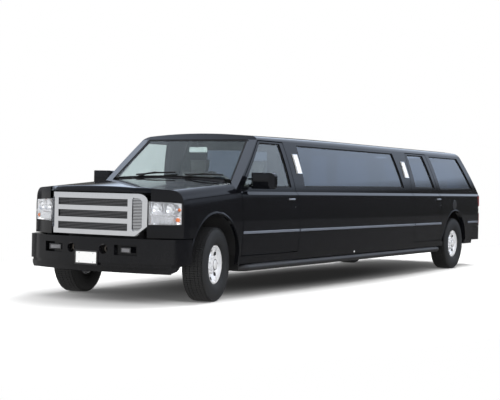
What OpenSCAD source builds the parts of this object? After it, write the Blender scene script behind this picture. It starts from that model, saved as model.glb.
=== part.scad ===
// Stretch limousine on the chassis of a full-size utility vehicle.
// +X is forward, +Y is the driver's left, +Z is up; the origin is on the ground at mid-length.

/* [Overall] */
// Distance between the axles
wheelbase = 7038; // [6400:1:7600]
// Front axle to the face of the front bumper
front_overhang = 963; // [940:1:1000]
// Rear axle to the back of the rear bumper
rear_overhang = 1313; // [1300:1:1360]
// Width over the body sides
body_w = 2030; // [2000:1:2060]
// Height of the roof crown
body_h = 1910; // [1895:1:1930]
// Underside of the rocker panels
sill_z = 385; // [370:1:400]

/* [Wheels] */
// Distance between the wheel centre planes of one axle
track = 1737; // [1720:1:1750]
// Outside radius of the tyre
tyre_r = 402; // [390:1:410]
// Width of the tyre
tyre_w = 265; // [245:1:275]
// Radius at which the tyre sits on the rim
rim_r = 203; // [195:1:210]
// Radius of the rim lip
lip_r = 217; // [212:1:222]
// Round holes in the wheel disc and lugs on the hub
lug_count = 8; // [6:1:8]
// Steering angle of the front wheels as drawn, to the left
steer_rest = 11; // [0:1:15]
// Sideways distance of the steering pivots from the middle
kingpin_y = 793; // [785:1:800]
// Radius of the hub bore
hub_bore_r = 30; // [28:0.5:34]
// Radial running fit of a spindle in its hub
hub_fit = 0.05; // [0.02:0.01:0.1]

/* [Body] */
// Thickness of cabin walls and doors
wall = 70; // [60:1:80]
// Thickness of the front sheet metal with its inner panel
front_wall = 45; // [40:1:50]
// Thickness of all window glass
glass_t = 6; // [5:0.5:8]
// Depth of the side glass below the outer face
glass_set = 18; // [14:1:22]
// Gap round the doors, the hood and the liftgate
shut_gap = 12; // [10:1:14]
// Width of the jamb that stands behind the edge of a door
jamb = 16; // [14:1:18]
// Seat of one fixed piece against another
seat = 0.3; // [0.2:0.05:0.35]
// Depth of the roof panel, from its crown to its joint with the sides
roof_depth = 110; // [106:1:114]
// Height of the belt line below the windows
belt_z = 1195; // [1190:1:1200]
// Height of the crease below the belt line
ledge_z = 1160; // [1155:1:1165]
// Slope of the windshield from the horizontal
ws_slope = 41; // [40:0.5:42]
// Radius of the windshield across the body
ws_r = 8000; // [7000:100:9000]
// Downward slope of the hood
hood_slope = 4.6; // [4.2:0.1:5]

/* [Chassis] */
// Half-distance from the middle to the inside of a frame rail
rail_in = 420; // [410:1:425]
// Width of a frame rail
rail_w = 75; // [70:1:80]
// Underside of the frame rails
rail_z = 500; // [495:1:505]
// Height of the frame rails
rail_h = 120; // [110:1:120]
// Underside of the cabin floor
floor_z = 630; // [630:1:635]
// Thickness of the cabin floor
floor_t = 40; // [35:1:45]
// Radius of the running board tube
board_r = 38; // [34:1:42]

/* [Hidden] */
$fn = 96;
// Facets of the long-radius arcs
long_fn = 960;
axle_f = (wheelbase + front_overhang + rear_overhang) / 2 - front_overhang;
axle_r = axle_f - wheelbase;
axle_z = tyre_r;
function xf(d) = axle_f + d;
function xr(d) = axle_r + d;

half_w = body_w / 2;
// Cuts run past the body to these
out_y = half_w + 85;
over_z = body_h + 240;
roof_split = body_h - roof_depth;
side_r = 2600;
bulge_z = 800;
glass_r = 3600;
roof_r = 5200;
roof_edge_r = 110;
hood_r = 8500;
hood_edge_r = 120;
hood_z = 1335;
fender_end = -500;
belt_pt = [half_w - 60, belt_z];
rail_pt = [half_w - 200, body_h - 110];

// Centre of the arc of radius r from p to q that bulges away from the middle
function arc_centre(p, q, r) =
    let (d = q - p, h = sqrt(r * r - d * d / 4))
    (p + q) / 2 + h * [-d.y, d.x] / norm(d);
// Meeting point, with positive x, of two circles
function circle_meet(a, ra, b, rb) =
    let (d = norm(b - a), e = (b - a) / d, k = (ra * ra - rb * rb + d * d) / (2 * d),
         h = sqrt(ra * ra - k * k), p = a + k * e + h * [-e.y, e.x], q = a + k * e - h * [-e.y, e.x])
    p.x > q.x ? p : q;
// Outline with its edges moved inward by d; the points run counter-clockwise
function inset_outline(p, d) =
    let (n = len(p))
    [for (i = [0:n - 1])
        let (a = p[i] - p[(i + n - 1) % n], b = p[(i + 1) % n] - p[i],
             u = [-a.y, a.x] / norm(a), v = [-b.y, b.x] / norm(b))
        p[i] + d * (u + v) / (1 + u * v)];

green_c = arc_centre(belt_pt, rail_pt, glass_r);
roof_c = [0, body_h - roof_r];
roof_edge_c = circle_meet(green_c, glass_r - roof_edge_r, roof_c, roof_r - roof_edge_r);
side_c = [half_w - side_r, bulge_z];
hood_c = [0, hood_z - hood_r];
hood_edge_c = circle_meet(side_c, side_r - hood_edge_r, hood_c, hood_r - hood_edge_r);
function lower_y(t, z) = side_c.x + sqrt(pow(side_r - t, 2) - pow(z - side_c.y, 2));
function green_y(t, z) = green_c.x + sqrt(pow(glass_r - t, 2) - pow(z - green_c.y, 2));

// Foot and top of the windshield
ws_foot = [xf(-527), 1353];
ws_top_z = body_h - 125;
ws_top = [ws_foot.x - (ws_top_z - ws_foot.y) / tan(ws_slope), ws_top_z];
ws_len = (ws_top_z - ws_foot.y) / sin(ws_slope);
ws_base_y = half_w - 180;
ws_top_y = half_w - 310;
ws_step = out_y / 3;

// Lines of the front pillar and of the sloping back
front_edge = xf(-520);
pillar_foot = belt_z + 29;
pillar_run = 1.058;
rear_run = 0.9284;
function pillar_x(z) = front_edge - (z - pillar_foot) * pillar_run;
function rear_x(z) = xr(-1190) + (z - belt_z) * rear_run;

rear_edge = xr(1640);
door_low = 470;
door_top = roof_split - 4;
window_low = belt_z + 80;
window_top = body_h - 142;
window_in = half_w - 325;
front_door_pts = [[front_edge, door_low], [front_edge, pillar_foot], [pillar_x(door_top), door_top],
    [xf(-1712), door_top], [xf(-1846), belt_z], [xf(-1846), door_low]];
front_window_pts = [[pillar_x(belt_z + 45) - 85, belt_z + 45], [pillar_x(window_top) - 62, window_top],
    [xf(-1625), window_top], [xf(-1738), belt_z + 55]];
rear_door_pts = [[rear_edge, door_low], [rear_edge, door_top], [xr(858), door_top], [xr(590), belt_z],
    [xr(590), door_low]];
rear_window_pts = [[xr(1465), window_low], [xr(1580), window_top], [xr(985), window_top],
    [xr(725), window_low]];
long_window_pts = [[xf(-2075), window_low - 20], [xf(-2050), window_top], [xr(2110), window_top],
    [xr(1905), window_low]];
quarter_window_pts = [[xr(490), window_low - 20], [xr(720), window_top],
    [rear_x(window_top) + 187, window_top], [rear_x(window_low) + 187, window_low]];
// Opera lamps, between these shares of the window height
opera_share = [0.394, 0.806];
opera_z = [for (k = opera_share) belt_z + k * (window_top - belt_z)];
opera_front_pts = [[xf(-1925), opera_z[0]], [xf(-1880), opera_z[1]], [xf(-1995), opera_z[1]],
    [xf(-2040), opera_z[0]]];
opera_rear_pts = [[xr(1825), opera_z[0]], [xr(1880), opera_z[1]], [xr(1765), opera_z[1]],
    [xr(1690), opera_z[0]]];
plenum_z = 1145;
hood_hinge = [xf(-490), hood_z - 60];
hood_hinge_y = half_w - 273;
gate_z = roof_split - 12;
gate_y = half_w - 315;
gate_low_y = half_w - 165;
gate_hinge = [rear_x(gate_z) + 19, gate_z];
hinge_pin_r = 6;
door_hinge_y = half_w - 3;
door_hinge_z = [680, 900];
tailgate_pts = [[-gate_low_y, 620], [gate_low_y, 620], [gate_low_y, belt_z], [gate_y, gate_z],
    [-gate_y, gate_z], [-gate_low_y, belt_z]];
tailgate_window_pts = [[-gate_y, window_low], [gate_y, window_low], [gate_y - 100, body_h - 190],
    [100 - gate_y, body_h - 190]];
cabin_profile = [[xf(400), 200], [xf(400), over_z], [rear_x(over_z), over_z], [xr(-1190), belt_z],
    [xr(-1222), 900], [xr(-1205), 300], [xr(-1205), 200]];
nose_x = xf(868);
nose_r = 2100;
// Outline of both halves from the points of the left one, back to front
function both_halves(h) = concat([for (p = h) [p.x, -p.y]], [for (i = [len(h) - 1:-1:0]) h[i]]);
nose_pts = both_halves([[xf(-900), out_y], [xf(540), out_y], [xf(565), half_w + 5], [xf(640), half_w - 28],
    [xf(950), half_w - 28]]);
bumper_pts = both_halves([[xf(485), half_w - 2], [xf(600), half_w - 5], [xf(770), half_w - 95],
    [xf(900), half_w - 325], [xf(1000), 200]]);
bumper_face = xf(front_overhang - 8);
valance_pts = both_halves([[xf(500), half_w - 38], [xf(690), half_w - 42], [xf(765), half_w - 140],
    [xf(850), half_w - 330], [xf(940), 200]]);
// Heights of the bumper face, its step and its valance, from the top down
bumper_z = [690, 430, 400, 330];
valance_set = 72;
rear_bumper_half = [[xr(-830), half_w - 15], [xr(-1100), half_w - 9], [xr(-1230), half_w - 85],
    [xr(-1330), half_w - 315]];
rear_bumper_pts = concat(rear_bumper_half,
    [for (i = [3:-1:0]) [rear_bumper_half[i].x, -rear_bumper_half[i].y]]);
hood_half = [[xf(-600), half_w - 200], [xf(640), half_w - 255], [xf(900), half_w - 445]];
hood_pts = both_halves(hood_half);
// Grille: a face with a slight bow, and ends swept back to the lamps
grille_y = half_w - 375;
face_y = half_w - 505;
grille_z = [716, 1154];
grille_face = xf(884);
grille_end = xf(766);
grille_bow = 8000;
slot_h = 76;
slot_pitch = 127;
lamp_x = xf(625);
lamp_pts = [[grille_y + 12, 836], [half_w + 25, 844], [half_w + 25, 1030], [half_w - 40, 1064],
    [grille_y + 12, 1077]];
// Tow eyes behind the bumper face, and the receiver under the rear bumper
tow_eye = [xf(876), 215, 574];
tow_eye_r = 20;
receiver_z = rail_z - 100;
house_in = track / 2 - tyre_w / 2 - 66;
arch_f = 470;
arch_r = 470;

paint = [0.03, 0.03, 0.035];
chrome = [0.75, 0.76, 0.78];
dark = [0.12, 0.12, 0.13];
tint = [0.25, 0.3, 0.36, 0.6];
iron = [0.22, 0.22, 0.23];
hide = [0.3, 0.29, 0.28];

// Sweep a drawing of the cross-section (y, z) from x0 to x1
module along_x(x0, x1) {
    translate([x0, 0, 0]) rotate([90, 0, 90]) linear_extrude(x1 - x0) children();
}
// Sweep a drawing of the side view (x, z) from y0 to y1
module along_y(y0, y1) {
    translate([0, y1, 0]) rotate([90, 0, 0]) linear_extrude(y1 - y0) children();
}
// Sweep a drawing of the plan (x, y) from z0 to z1
module along_z(z0, z1) {
    translate([0, 0, z0]) linear_extrude(z1 - z0) children();
}
module box(x, y, z) {
    translate([x[0], y[0], z[0]]) cube([x[1] - x[0], y[1] - y[0], z[1] - z[0]]);
}
module on_side(s) {
    if (s > 0) children();
    else mirror([0, 1, 0]) children();
}
module both_sides() {
    children();
    mirror([0, 1, 0]) children();
}

// Half-width and height rounding shared by the cabin and the front: side arcs, crown and edge radius
module edge_section(t, side, r_side, crown, r_crown, edge, r_edge, z0) {
    out = r_edge - t;
    top = edge.y + out * (edge - side).y / norm(edge - side);
    wide = edge.x + out * (edge - crown).x / norm(edge - crown);
    intersection() {
        translate(side) circle(r_side - t, $fn = long_fn);
        translate([-side.x, side.y]) circle(r_side - t, $fn = long_fn);
        translate([-out_y, z0]) square([2 * out_y, top - z0]);
    }
    intersection() {
        translate(crown) circle(r_crown - t, $fn = long_fn);
        translate([-wide, z0]) square([2 * wide, over_z - z0]);
    }
    // A little over the tangent radius, so that the arcs cross
    for (s = [-1, 1])
        translate([s * edge.x, edge.y]) circle(out + 0.5);
}
module cabin_section(t, z0) {
    ly = lower_y(t, ledge_z);
    gy = green_y(t, belt_z);
    k = (belt_z - ledge_z) / (ly - gy);
    // The ledge line runs on past both arcs, so that it meets them at an angle
    far = half_w + 285;
    low = [far, ledge_z - k * (far - ly)];
    high = [gy - 100, belt_z + 100 * k];
    intersection() {
        translate(side_c) circle(side_r - t, $fn = long_fn);
        translate([-side_c.x, side_c.y]) circle(side_r - t, $fn = long_fn);
        polygon([[-far, z0], [far, z0], low, high, [-high.x, high.y], [-low.x, low.y]]);
    }
    edge_section(t, green_c, glass_r, roof_c, roof_r, roof_edge_c, roof_edge_r, belt_z - 20);
}
// Ring of the cabin wall between depths a and b, from height z0 to z1, on the left
module wall_band(a, b, z0, z1) {
    intersection() {
        difference() {
            cabin_section(a, sill_z);
            cabin_section(b, sill_z - 30);
        }
        translate([0, z0]) square([out_y, z1 - z0]);
    }
}
module windshield_frame() {
    translate([ws_top.x, 0, ws_top.y]) rotate([0, ws_slope - 90, 0]) children();
}
// Bend of the windshield across the body, in flats of equal width, moved inward by t
function ws_bend(t, k) =
    [for (i = [-3:3]) [sqrt(ws_r * ws_r - pow(i * ws_step, 2)) - ws_r - t, k * i * ws_step]];
module behind_windshield(t) {
    windshield_frame() translate([0, 0, -3000]) linear_extrude(12000)
        polygon(concat(ws_bend(t, 1), [[-9000, out_y], [-9000, -out_y]]));
}
module windshield_slab(a, b) {
    intersection() {
        windshield_frame() translate([0, 0, -1400]) linear_extrude(1900)
            polygon(concat(ws_bend(a, 1), ws_bend(b, -1)));
        along_x(xf(-1500), xf(-150)) cabin_section(0, sill_z);
    }
}
module windshield_prism(pts) {
    windshield_frame() along_x(-300, 300) polygon(pts);
}
ws_opening = [[-ws_base_y, -ws_len], [ws_base_y, -ws_len], [ws_top_y, 90], [-ws_top_y, 90]];
// Cabin plan with its rounded rear corners
module cabin_plan() {
    r = 170;
    translate([xr(-1222) + r, -out_y]) square([wheelbase + 2600, 2 * out_y]);
    translate([xr(-1222), r - half_w]) square([400, body_w - 2 * r]);
    for (s = [-1, 1])
        translate([xr(-1222) + r, s * (half_w - r)]) circle(r);
}
module rear_slab(a, b) {
    intersection() {
        along_y(-half_w, half_w) difference() {
            polygon(inset_outline(cabin_profile, a));
            polygon(inset_outline(cabin_profile, b));
        }
        along_x(xr(-1300), xr(-300)) cabin_section(0, sill_z);
    }
}
// Plan of the grille, moved inward by t and open behind
module grille_plan(t) {
    back = grille_end - 60 - 2 * t;
    intersection() {
        polygon(inset_outline(
            both_halves([[back, grille_y], [grille_end, grille_y], [grille_face, face_y]]), t));
        translate([grille_face - grille_bow, 0]) circle(grille_bow - t, $fn = long_fn);
    }
}
module front_form(t) {
    intersection() {
        translate([xf(-480), 0, bulge_z]) rotate([0, hood_slope, 0]) translate([0, 0, -bulge_z])
            along_x(-90, 1500) edge_section(t, side_c, side_r, hood_c, hood_r, hood_edge_c, hood_edge_r, 150);
        along_z(300, 1500) {
            intersection() {
                polygon(inset_outline(nose_pts, t));
                translate([nose_x - nose_r, 0]) circle(nose_r - t, $fn = long_fn);
            }
            grille_plan(t + 14);
        }
    }
}
module arch_cut(x, r) {
    translate([x, 0]) circle(r);
    translate([x - r, -600]) square([2 * r, 600]);
}

module frame() {
    color(iron) {
        both_sides() {
            along_x(xr(-1215), xf(700)) difference() {
                translate([rail_in, rail_z]) square([rail_w, rail_h]);
                translate([rail_in - 1, rail_z + 10]) square([rail_w - 9, rail_h - 20]);
            }
            for (x = [xf(-620), xf(-1500), xf(-2600), xf(-3700), xf(-4800), xr(1500), xr(700), xr(-700)])
                translate([x, rail_in + rail_w / 2, rail_z + rail_h - 5])
                    cylinder(r = 34, h = floor_z - seat - rail_z - rail_h + 5);
            for (x = [xf(690), xr(-1215)])
                box([x - 10, x + 10], [rail_in, rail_in + rail_w], [rail_z, rail_z + rail_h]);
        }
        for (x = [xf(520), xf(-560), xf(-1500), xf(-2600), xf(-3700), xf(-4800), xr(1500), xr(700), xr(-700),
            xr(-1150)])
            box([x - 40, x + 40], [-rail_in - rail_w + 5, rail_in + rail_w - 5], [rail_z + 50, rail_z + 108]);
        // Bumper beam with the tow eyes
        box([xf(690), xf(730)], [-rail_in - rail_w, rail_in + rail_w], [rail_z + 45, rail_z + 105]);
        both_sides() difference() {
            union() {
                box([xf(720), tow_eye.x - 20], [tow_eye.y + tow_eye_r + 4, tow_eye.y + 2 * tow_eye_r - 2],
                    [tow_eye.z - 26, tow_eye.z + 26]);
                translate(tow_eye - [52, 0, 0]) rotate([0, 90, 0]) cylinder(r = 2 * tow_eye_r, h = 52);
            }
            translate(tow_eye - [60, 0, 0]) rotate([0, 90, 0]) cylinder(r = tow_eye_r, h = 120);
        }
        // Receiver for a tow bar
        box([xr(-1190), xr(-1110)], [-rail_in - rail_w, rail_in + rail_w], [receiver_z + 30, rail_z + 5]);
        difference() {
            box([xr(-1290), xr(-1120)], [-38, 38], [receiver_z - 38, receiver_z + 38]);
            box([xr(-1300), xr(-1130)], [-25.5, 25.5], [receiver_z - 25.5, receiver_z + 25.5]);
            translate([xr(-1240), -60, receiver_z]) rotate([-90, 0, 0]) cylinder(r = 8.2, h = 120);
        }
    }
}

module front_axle() {
    color(iron) difference() {
        union() {
            translate([axle_f, -kingpin_y + 45, axle_z]) rotate([-90, 0, 0])
                cylinder(r = 42, h = 2 * kingpin_y - 90);
            translate([axle_f, -160, axle_z]) sphere(r = 115);
            both_sides() {
                box([axle_f - 42, axle_f + 42], [kingpin_y - 90, kingpin_y - 45], [axle_z - 88, axle_z + 88]);
                for (z = [-88, 60])
                    box([axle_f - 32, axle_f + 32], [kingpin_y - 60, kingpin_y + 30],
                        [axle_z + z, axle_z + z + 28]);
                translate([axle_f, kingpin_y, axle_z - 80]) cylinder(r = 12, h = 160);
                box([axle_f - 70, axle_f + 70], [rail_in + 5, rail_in + rail_w - 5], [axle_z, axle_z + 48]);
            }
        }
    }
}

module rear_axle() {
    color(iron) {
        translate([axle_r, -track / 2 - 40, axle_z]) rotate([-90, 0, 0])
            cylinder(r = hub_bore_r - hub_fit, h = track + 80);
        translate([axle_r, -track / 2 + 45, axle_z]) rotate([-90, 0, 0]) cylinder(r = 48, h = track - 90);
        translate([axle_r, 0, axle_z]) sphere(r = 150);
        translate([axle_r, 0, axle_z]) rotate([0, 90, 0]) cylinder(r = 60, h = 260);
        both_sides()
            box([axle_r - 70, axle_r + 70], [rail_in + 5, rail_in + rail_w - 5], [axle_z, axle_z + 48]);
    }
}

module leaf_springs() {
    color(dark) both_sides() for (x = [axle_f, axle_r]) {
        for (i = [0:2])
            box([x - 620 + 150 * i, x + 620 - 150 * i], [rail_in + 5, rail_in + rail_w - 5],
                [axle_z + 48 + seat + 12 * (2 - i), axle_z + 60 + seat + 12 * (2 - i)]);
        for (s = [-1, 1])
            box([x + s * 595 - 25, x + s * 595 + 25], [rail_in + 5, rail_in + rail_w - 5],
                [axle_z + 80, rail_z - seat]);
    }
}

module floor_pan() {
    z1 = floor_z + floor_t;
    color(dark) {
        difference() {
            union() {
                intersection() {
                    box([xr(-1130), xf(-470)], [-half_w, half_w], [floor_z, z1]);
                    along_x(xr(-1300), xf(0)) cabin_section(wall + seat, 200);
                }
                both_sides() box([xr(-500), xr(500)], [house_in, half_w - wall - 25], [z1 - 20, 965]);
            }
            both_sides() box([xr(-480), xr(480)], [house_in + 20, half_w - 15], [400, 945]);
        }
        intersection() {
            union() {
                box([xf(fender_end + seat), xf(fender_end + 38)], [-out_y, out_y], [floor_z, plenum_z]);
                box([xf(fender_end + seat), xf(-100)], [-out_y, out_y], [plenum_z - 25, plenum_z]);
            }
            front_form(front_wall + seat);
            behind_windshield(0);
        }
        // Hood hinge lugs with their pins
        both_sides() {
            box([hood_hinge.x - 9, hood_hinge.x + 16], [hood_hinge_y, hood_hinge_y + 14],
                [plenum_z - 20, hood_hinge.y]);
            along_y(hood_hinge_y, hood_hinge_y + 14) translate(hood_hinge) circle(r = 16);
            along_y(hood_hinge_y + 8, hood_hinge_y + 50) translate(hood_hinge) circle(r = hinge_pin_r);
        }
    }
}

module cowl() {
    color(dark) intersection() {
        windshield_slab(2, 32);
        windshield_prism([[277 - half_w, -1200], [half_w - 277, -1200], [half_w - 277, -ws_len - seat],
            [277 - half_w, -ws_len - seat]]);
        box([xf(-700), xf(0)], [-half_w, half_w], [plenum_z + seat, 1500]);
    }
}

module roof() {
    color(paint) difference() {
        intersection() {
            union() {
                both_sides() along_x(xr(-1300), xf(-600)) wall_band(0, wall, roof_split, over_z);
                windshield_slab(0, 45);
                rear_slab(0, wall);
            }
            box([xr(-1300), xf(0)], [-out_y, out_y], [roof_split, over_z]);
            along_y(-out_y, out_y) polygon(cabin_profile);
            behind_windshield(0);
        }
    }
    color(paint) both_sides() {
        box([gate_hinge.x - 2, gate_hinge.x + 10], [480, 502], [gate_hinge.y, roof_split + 5]);
        along_y(480, 502) translate(gate_hinge) circle(r = 10);
        along_y(448, 490) translate(gate_hinge) circle(r = hinge_pin_r);
    }
}

// Door hinge: a lug with its pin on the body, and the knuckle of the door on that pin.
// x is the opening's front edge
module door_lugs(x) {
    for (z = door_hinge_z) {
        box([x - 6, x + 6], [door_hinge_y - 10, door_hinge_y - 2], [z, z + 25]);
        translate([x - 6, door_hinge_y, z]) cylinder(r = 3, h = 60);
    }
}
module door_knuckles(x) {
    for (z = door_hinge_z)
        difference() {
            union() {
                box([x - shut_gap - 6, x - 6], [door_hinge_y - 10, door_hinge_y - 3], [z + 26, z + 58]);
                translate([x - 6, door_hinge_y, z + 26]) cylinder(r = 5, h = 32);
            }
            translate([x - 6, door_hinge_y, z]) cylinder(r = 3 + hub_fit, h = 90);
        }
}

module side_panel(s) {
    color(paint) on_side(s) {
        door_lugs(front_edge);
        door_lugs(rear_edge);
        panel_shape();
    }
}
module panel_shape() {
    difference() {
        intersection() {
            union() {
                along_x(xr(-1300), xf(fender_end) - seat) wall_band(0, wall, sill_z, belt_z + 5);
                along_x(xr(-1300), xf(-300)) wall_band(0, wall, belt_z, roof_split - seat);
                intersection() {
                    rear_slab(0, wall);
                    box([xr(-1300), xr(-300)], [0, out_y], [sill_z, roof_split - seat]);
                }
                // Stops below the roof, so that no splinter of the slab is left over the header
                intersection() {
                    windshield_slab(0, 45);
                    box([xf(-1500), xf(0)], [0, out_y], [belt_z, roof_split - 20]);
                }
            }
            along_y(ws_top_y - 40, out_y) polygon(cabin_profile);
            along_z(0, over_z) cabin_plan();
            behind_windshield(0);
        }
        windshield_prism([[-ws_base_y, -1300], [ws_base_y, -1300], [ws_base_y, -ws_len], [ws_top_y, 90],
            [-ws_top_y, 90]]);
        along_x(xr(-1300), xr(-300)) {
            polygon(tailgate_pts);
            translate([-gate_low_y, 0]) square([2 * gate_low_y, 700]);
            translate([-gate_y, gate_z - 1]) square([2 * gate_y, 60]);
        }
        along_y(window_in, out_y) {
            polygon(inset_outline(front_door_pts, jamb));
            polygon(inset_outline(rear_door_pts, jamb));
            polygon(long_window_pts);
            polygon(quarter_window_pts);
            translate([0, 450]) arch_cut(axle_r, arch_r);
        }
        intersection() {
            along_x(xr(300), xf(-300)) wall_band(-20, 40, sill_z, roof_split + 30);
            along_y(window_in, out_y) {
                polygon(front_door_pts);
                polygon(rear_door_pts);
            }
        }
        for (p = [opera_front_pts, opera_rear_pts])
            intersection() {
                along_x(xr(1400), xf(-1500)) wall_band(-20, 12 + seat, window_low, roof_split - 30);
                along_y(window_in, out_y) polygon(inset_outline(p, -seat));
            }
        // Places for the tail lamp and the bumper ends
        box([xr(-1300), xr(-1060)], [half_w - 150, out_y], [700, ledge_z + 5]);
        box([xr(-1320), xr(-820)], [half_w - 315, out_y], [300, 665]);
    }
}

module fender(s) {
    color(paint) on_side(s) difference() {
        intersection() {
            front_form(0);
            box([xf(fender_end), xf(900)], [0, out_y], [sill_z, 1400]);
        }
        front_form(front_wall);
        along_z(900, 1400) polygon(hood_pts);
        along_y(half_w - 515, out_y) translate([0, 480]) arch_cut(axle_f, arch_f);
        along_x(lamp_x, xf(900)) polygon(lamp_pts);
        along_x(xf(500), xf(900)) translate([-1, 0]) square([grille_y + 1, 1400]);
        box([xf(300), xf(900)], [0, out_y], [0, bumper_z[0] + 10]);
        box([xf(-700), xf(-415)], [0, out_y], [1180, 1400]);
    }
}

// Front view of the grille frame: rounded upper corners, cut lower corners
module grille_front() {
    r = 75;
    y = grille_y - seat;
    polygon([[95 - y, grille_z[0]], [y - 95, grille_z[0]], [y, grille_z[0] + 100], [y, grille_z[1] - r],
        [-y, grille_z[1] - r], [-y, grille_z[0] + 100]]);
    translate([r - y, grille_z[1] - r - 1]) square([2 * (y - r), r + 1]);
    for (s = [-1, 1])
        translate([s * (y - r), grille_z[1] - r]) circle(r);
}
module grille_shell(a, b) {
    along_z(grille_z[0] - 10, grille_z[1] + 10) difference() {
        grille_plan(a);
        grille_plan(b);
    }
}
module grille() {
    slot_y = face_y - 48;
    slot_z = grille_z[0] + 50;
    side_h = 2 * slot_pitch + slot_h + 18;
    color(chrome) {
        intersection() {
            grille_shell(0, 30);
            along_x(xf(650), xf(950)) difference() {
                grille_front();
                for (i = [0:2])
                    translate([-slot_y, slot_z + slot_pitch * i]) square([2 * slot_y, slot_h]);
                for (k = [-1, 1])
                    polygon([for (p = [[8, 20], [24, 0], [72, 16], [88, 44], [88, side_h - 40],
                        [72, side_h - 14], [24, side_h], [8, side_h - 20]])
                        [k * (face_y + p.x), slot_z + p.y]]);
            }
        }
        // Slats across all the slots
        intersection() {
            grille_shell(13, 27);
            along_x(xf(650), xf(950)) intersection() {
                grille_front();
                for (i = [0:23])
                    translate([20 - grille_y, slot_z + 4 + 15.2 * i]) square([2 * grille_y - 40, 7]);
            }
        }
    }
}

module radiator() {
    color(dark) {
        box([xf(590), xf(650)], [-500, 500], [rail_z + rail_h + seat, 1090]);
        both_sides() box([xf(600), xf(640)], [480, grille_y - 60], [760, 1000]);
    }
}

// Front bumper plan within the outline p and the bow at x, hollow behind its face
module bumper_ring(p, x, t, depth) {
    bow = 3000;
    difference() {
        intersection() {
            polygon(inset_outline(p, t));
            translate([x - bow, 0]) circle(bow - t, $fn = long_fn);
        }
        intersection() {
            translate([-60, 0]) polygon(inset_outline(p, t + depth));
            translate([x - bow, 0]) circle(bow - t - depth, $fn = long_fn);
        }
        translate([xf(300), 75 - half_w]) square([360, body_w - 150]);
    }
}
module front_bumper() {
    color(dark) difference() {
        union() {
            along_z(bumper_z[1], bumper_z[0]) bumper_ring(bumper_pts, bumper_face, 0, 40);
            along_z(bumper_z[2], bumper_z[1] + 5) bumper_ring(bumper_pts, bumper_face, 20, 40);
            along_z(bumper_z[2] - 4, bumper_z[2] + 5) bumper_ring(bumper_pts, bumper_face, 20, 100);
            along_z(bumper_z[3], bumper_z[2]) bumper_ring(valance_pts, bumper_face - valance_set, 0, 40);
            both_sides() box([xf(700 + seat), xf(900)], [rail_in, rail_in + rail_w],
                [rail_z + 108, rail_z + rail_h + 12]);
        }
        // Lower edge that rises towards the wheels
        along_y(-out_y, out_y) polygon([[xf(300), 300], [xf(725), 300], [xf(725), bumper_z[3] + 8],
            [xf(600), bumper_z[1] - 4], [xf(300), bumper_z[1] - 4]]);
        both_sides() {
            // Opening before the tow eye
            translate([xf(780), tow_eye.y, tow_eye.z]) rotate([0, 90, 0]) cylinder(r = 52, h = 300);
            // Shallow pocket beside it
            intersection() {
                along_z(515, 622) bumper_ring(bumper_pts, bumper_face, -20, 46);
                box([xf(700), xf(1000)], [345, 612], [515, 622]);
            }
        }
    }
}

module rear_bumper_plan(t) {
    intersection() {
        polygon(inset_outline(rear_bumper_pts, t));
        translate([xr(-rear_overhang) + 9000, 0]) circle(9000 - t, $fn = long_fn);
    }
}
module rear_bumper() {
    color(dark) {
        difference() {
            along_z(440, 660) rear_bumper_plan(0);
            along_z(400, 632) rear_bumper_plan(34);
            along_z(400, 700) {
                translate([xr(-1230), -gate_low_y - 15]) square([900, 2 * gate_low_y + 30]);
                translate([xr(-1160), 70 - half_w]) square([900, body_w - 140]);
            }
            along_z(400, 632) translate([xr(-900), 49 - half_w]) square([900, body_w - 98]);
            box([xr(-1340), xr(-1150)], [-60, 60], [430, 560]);
        }
        both_sides()
            box([xr(-1300), xr(-1225 - seat)], [rail_in, rail_in + rail_w], [rail_z, rail_z + rail_h]);
    }
}

module front_plate() {
    color("white") {
        box([bumper_face + seat, xf(front_overhang)], [-152, 152], [bumper_z[2], bumper_z[2] + 152]);
    }
}

module windshield() {
    color(tint) intersection() {
        windshield_slab(8, 8 + glass_t);
        windshield_prism(inset_outline(ws_opening, seat));
        box([xf(-1500), xf(0)], [-half_w, half_w], [belt_z, roof_split - seat]);
    }
}

module pane(pts) {
    intersection() {
        along_x(xr(-1300), xf(0)) wall_band(glass_set, glass_set + glass_t, belt_z + 5, roof_split);
        along_y(window_in, out_y) polygon(inset_outline(pts, seat));
    }
}
module side_glass() {
    color(tint) both_sides() {
        pane(long_window_pts);
        pane(quarter_window_pts);
    }
}

module headlamps() {
    color("white") both_sides() intersection() {
        difference() {
            front_form(3);
            front_form(front_wall);
        }
        along_x(lamp_x + seat, xf(900)) polygon(inset_outline(lamp_pts, seat));
    }
}

module taillamps() {
    color("red") both_sides() intersection() {
        box([xr(-1300), xr(-1060 - seat)], [half_w - 150 + seat, out_y], [700 + seat, ledge_z + 5 - seat]);
        along_y(-out_y, out_y) polygon(cabin_profile);
        along_z(0, over_z) cabin_plan();
        along_x(xr(-1300), xr(-900)) wall_band(0, wall + 25, sill_z, belt_z);
    }
}

module running_boards() {
    z = sill_z - 50;
    y = half_w - 40;
    bend = 110;
    x0 = xr(600) + bend;
    x1 = xf(-580) - bend;
    color(dark) both_sides() {
        translate([x0, y, z]) rotate([0, 90, 0]) cylinder(r = board_r, h = x1 - x0);
        // Ends that turn in under the body
        translate([x1, y - bend, z]) rotate_extrude(angle = 90) translate([bend, 0]) circle(board_r);
        translate([x0, y - bend, z]) rotate([0, 0, 90])
            rotate_extrude(angle = 90) translate([bend, 0]) circle(board_r);
        for (x = [x0 - bend, x1 + bend])
            translate([x, y - bend - 60, z]) rotate([-90, 0, 0]) cylinder(r = board_r, h = 60);
        for (x = [xf(-900), xf(-1900), xf(-2900), xf(-4400), xr(1900), xr(860)])
            along_x(x - 25, x + 25) polygon([[rail_in + rail_w + seat, rail_z + 5], [half_w - 145, z + 5],
                [y, z - 10], [y, z + 20], [half_w - 135, z + 36], [rail_in + rail_w + seat, rail_z + 50]]);
    }
}

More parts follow.
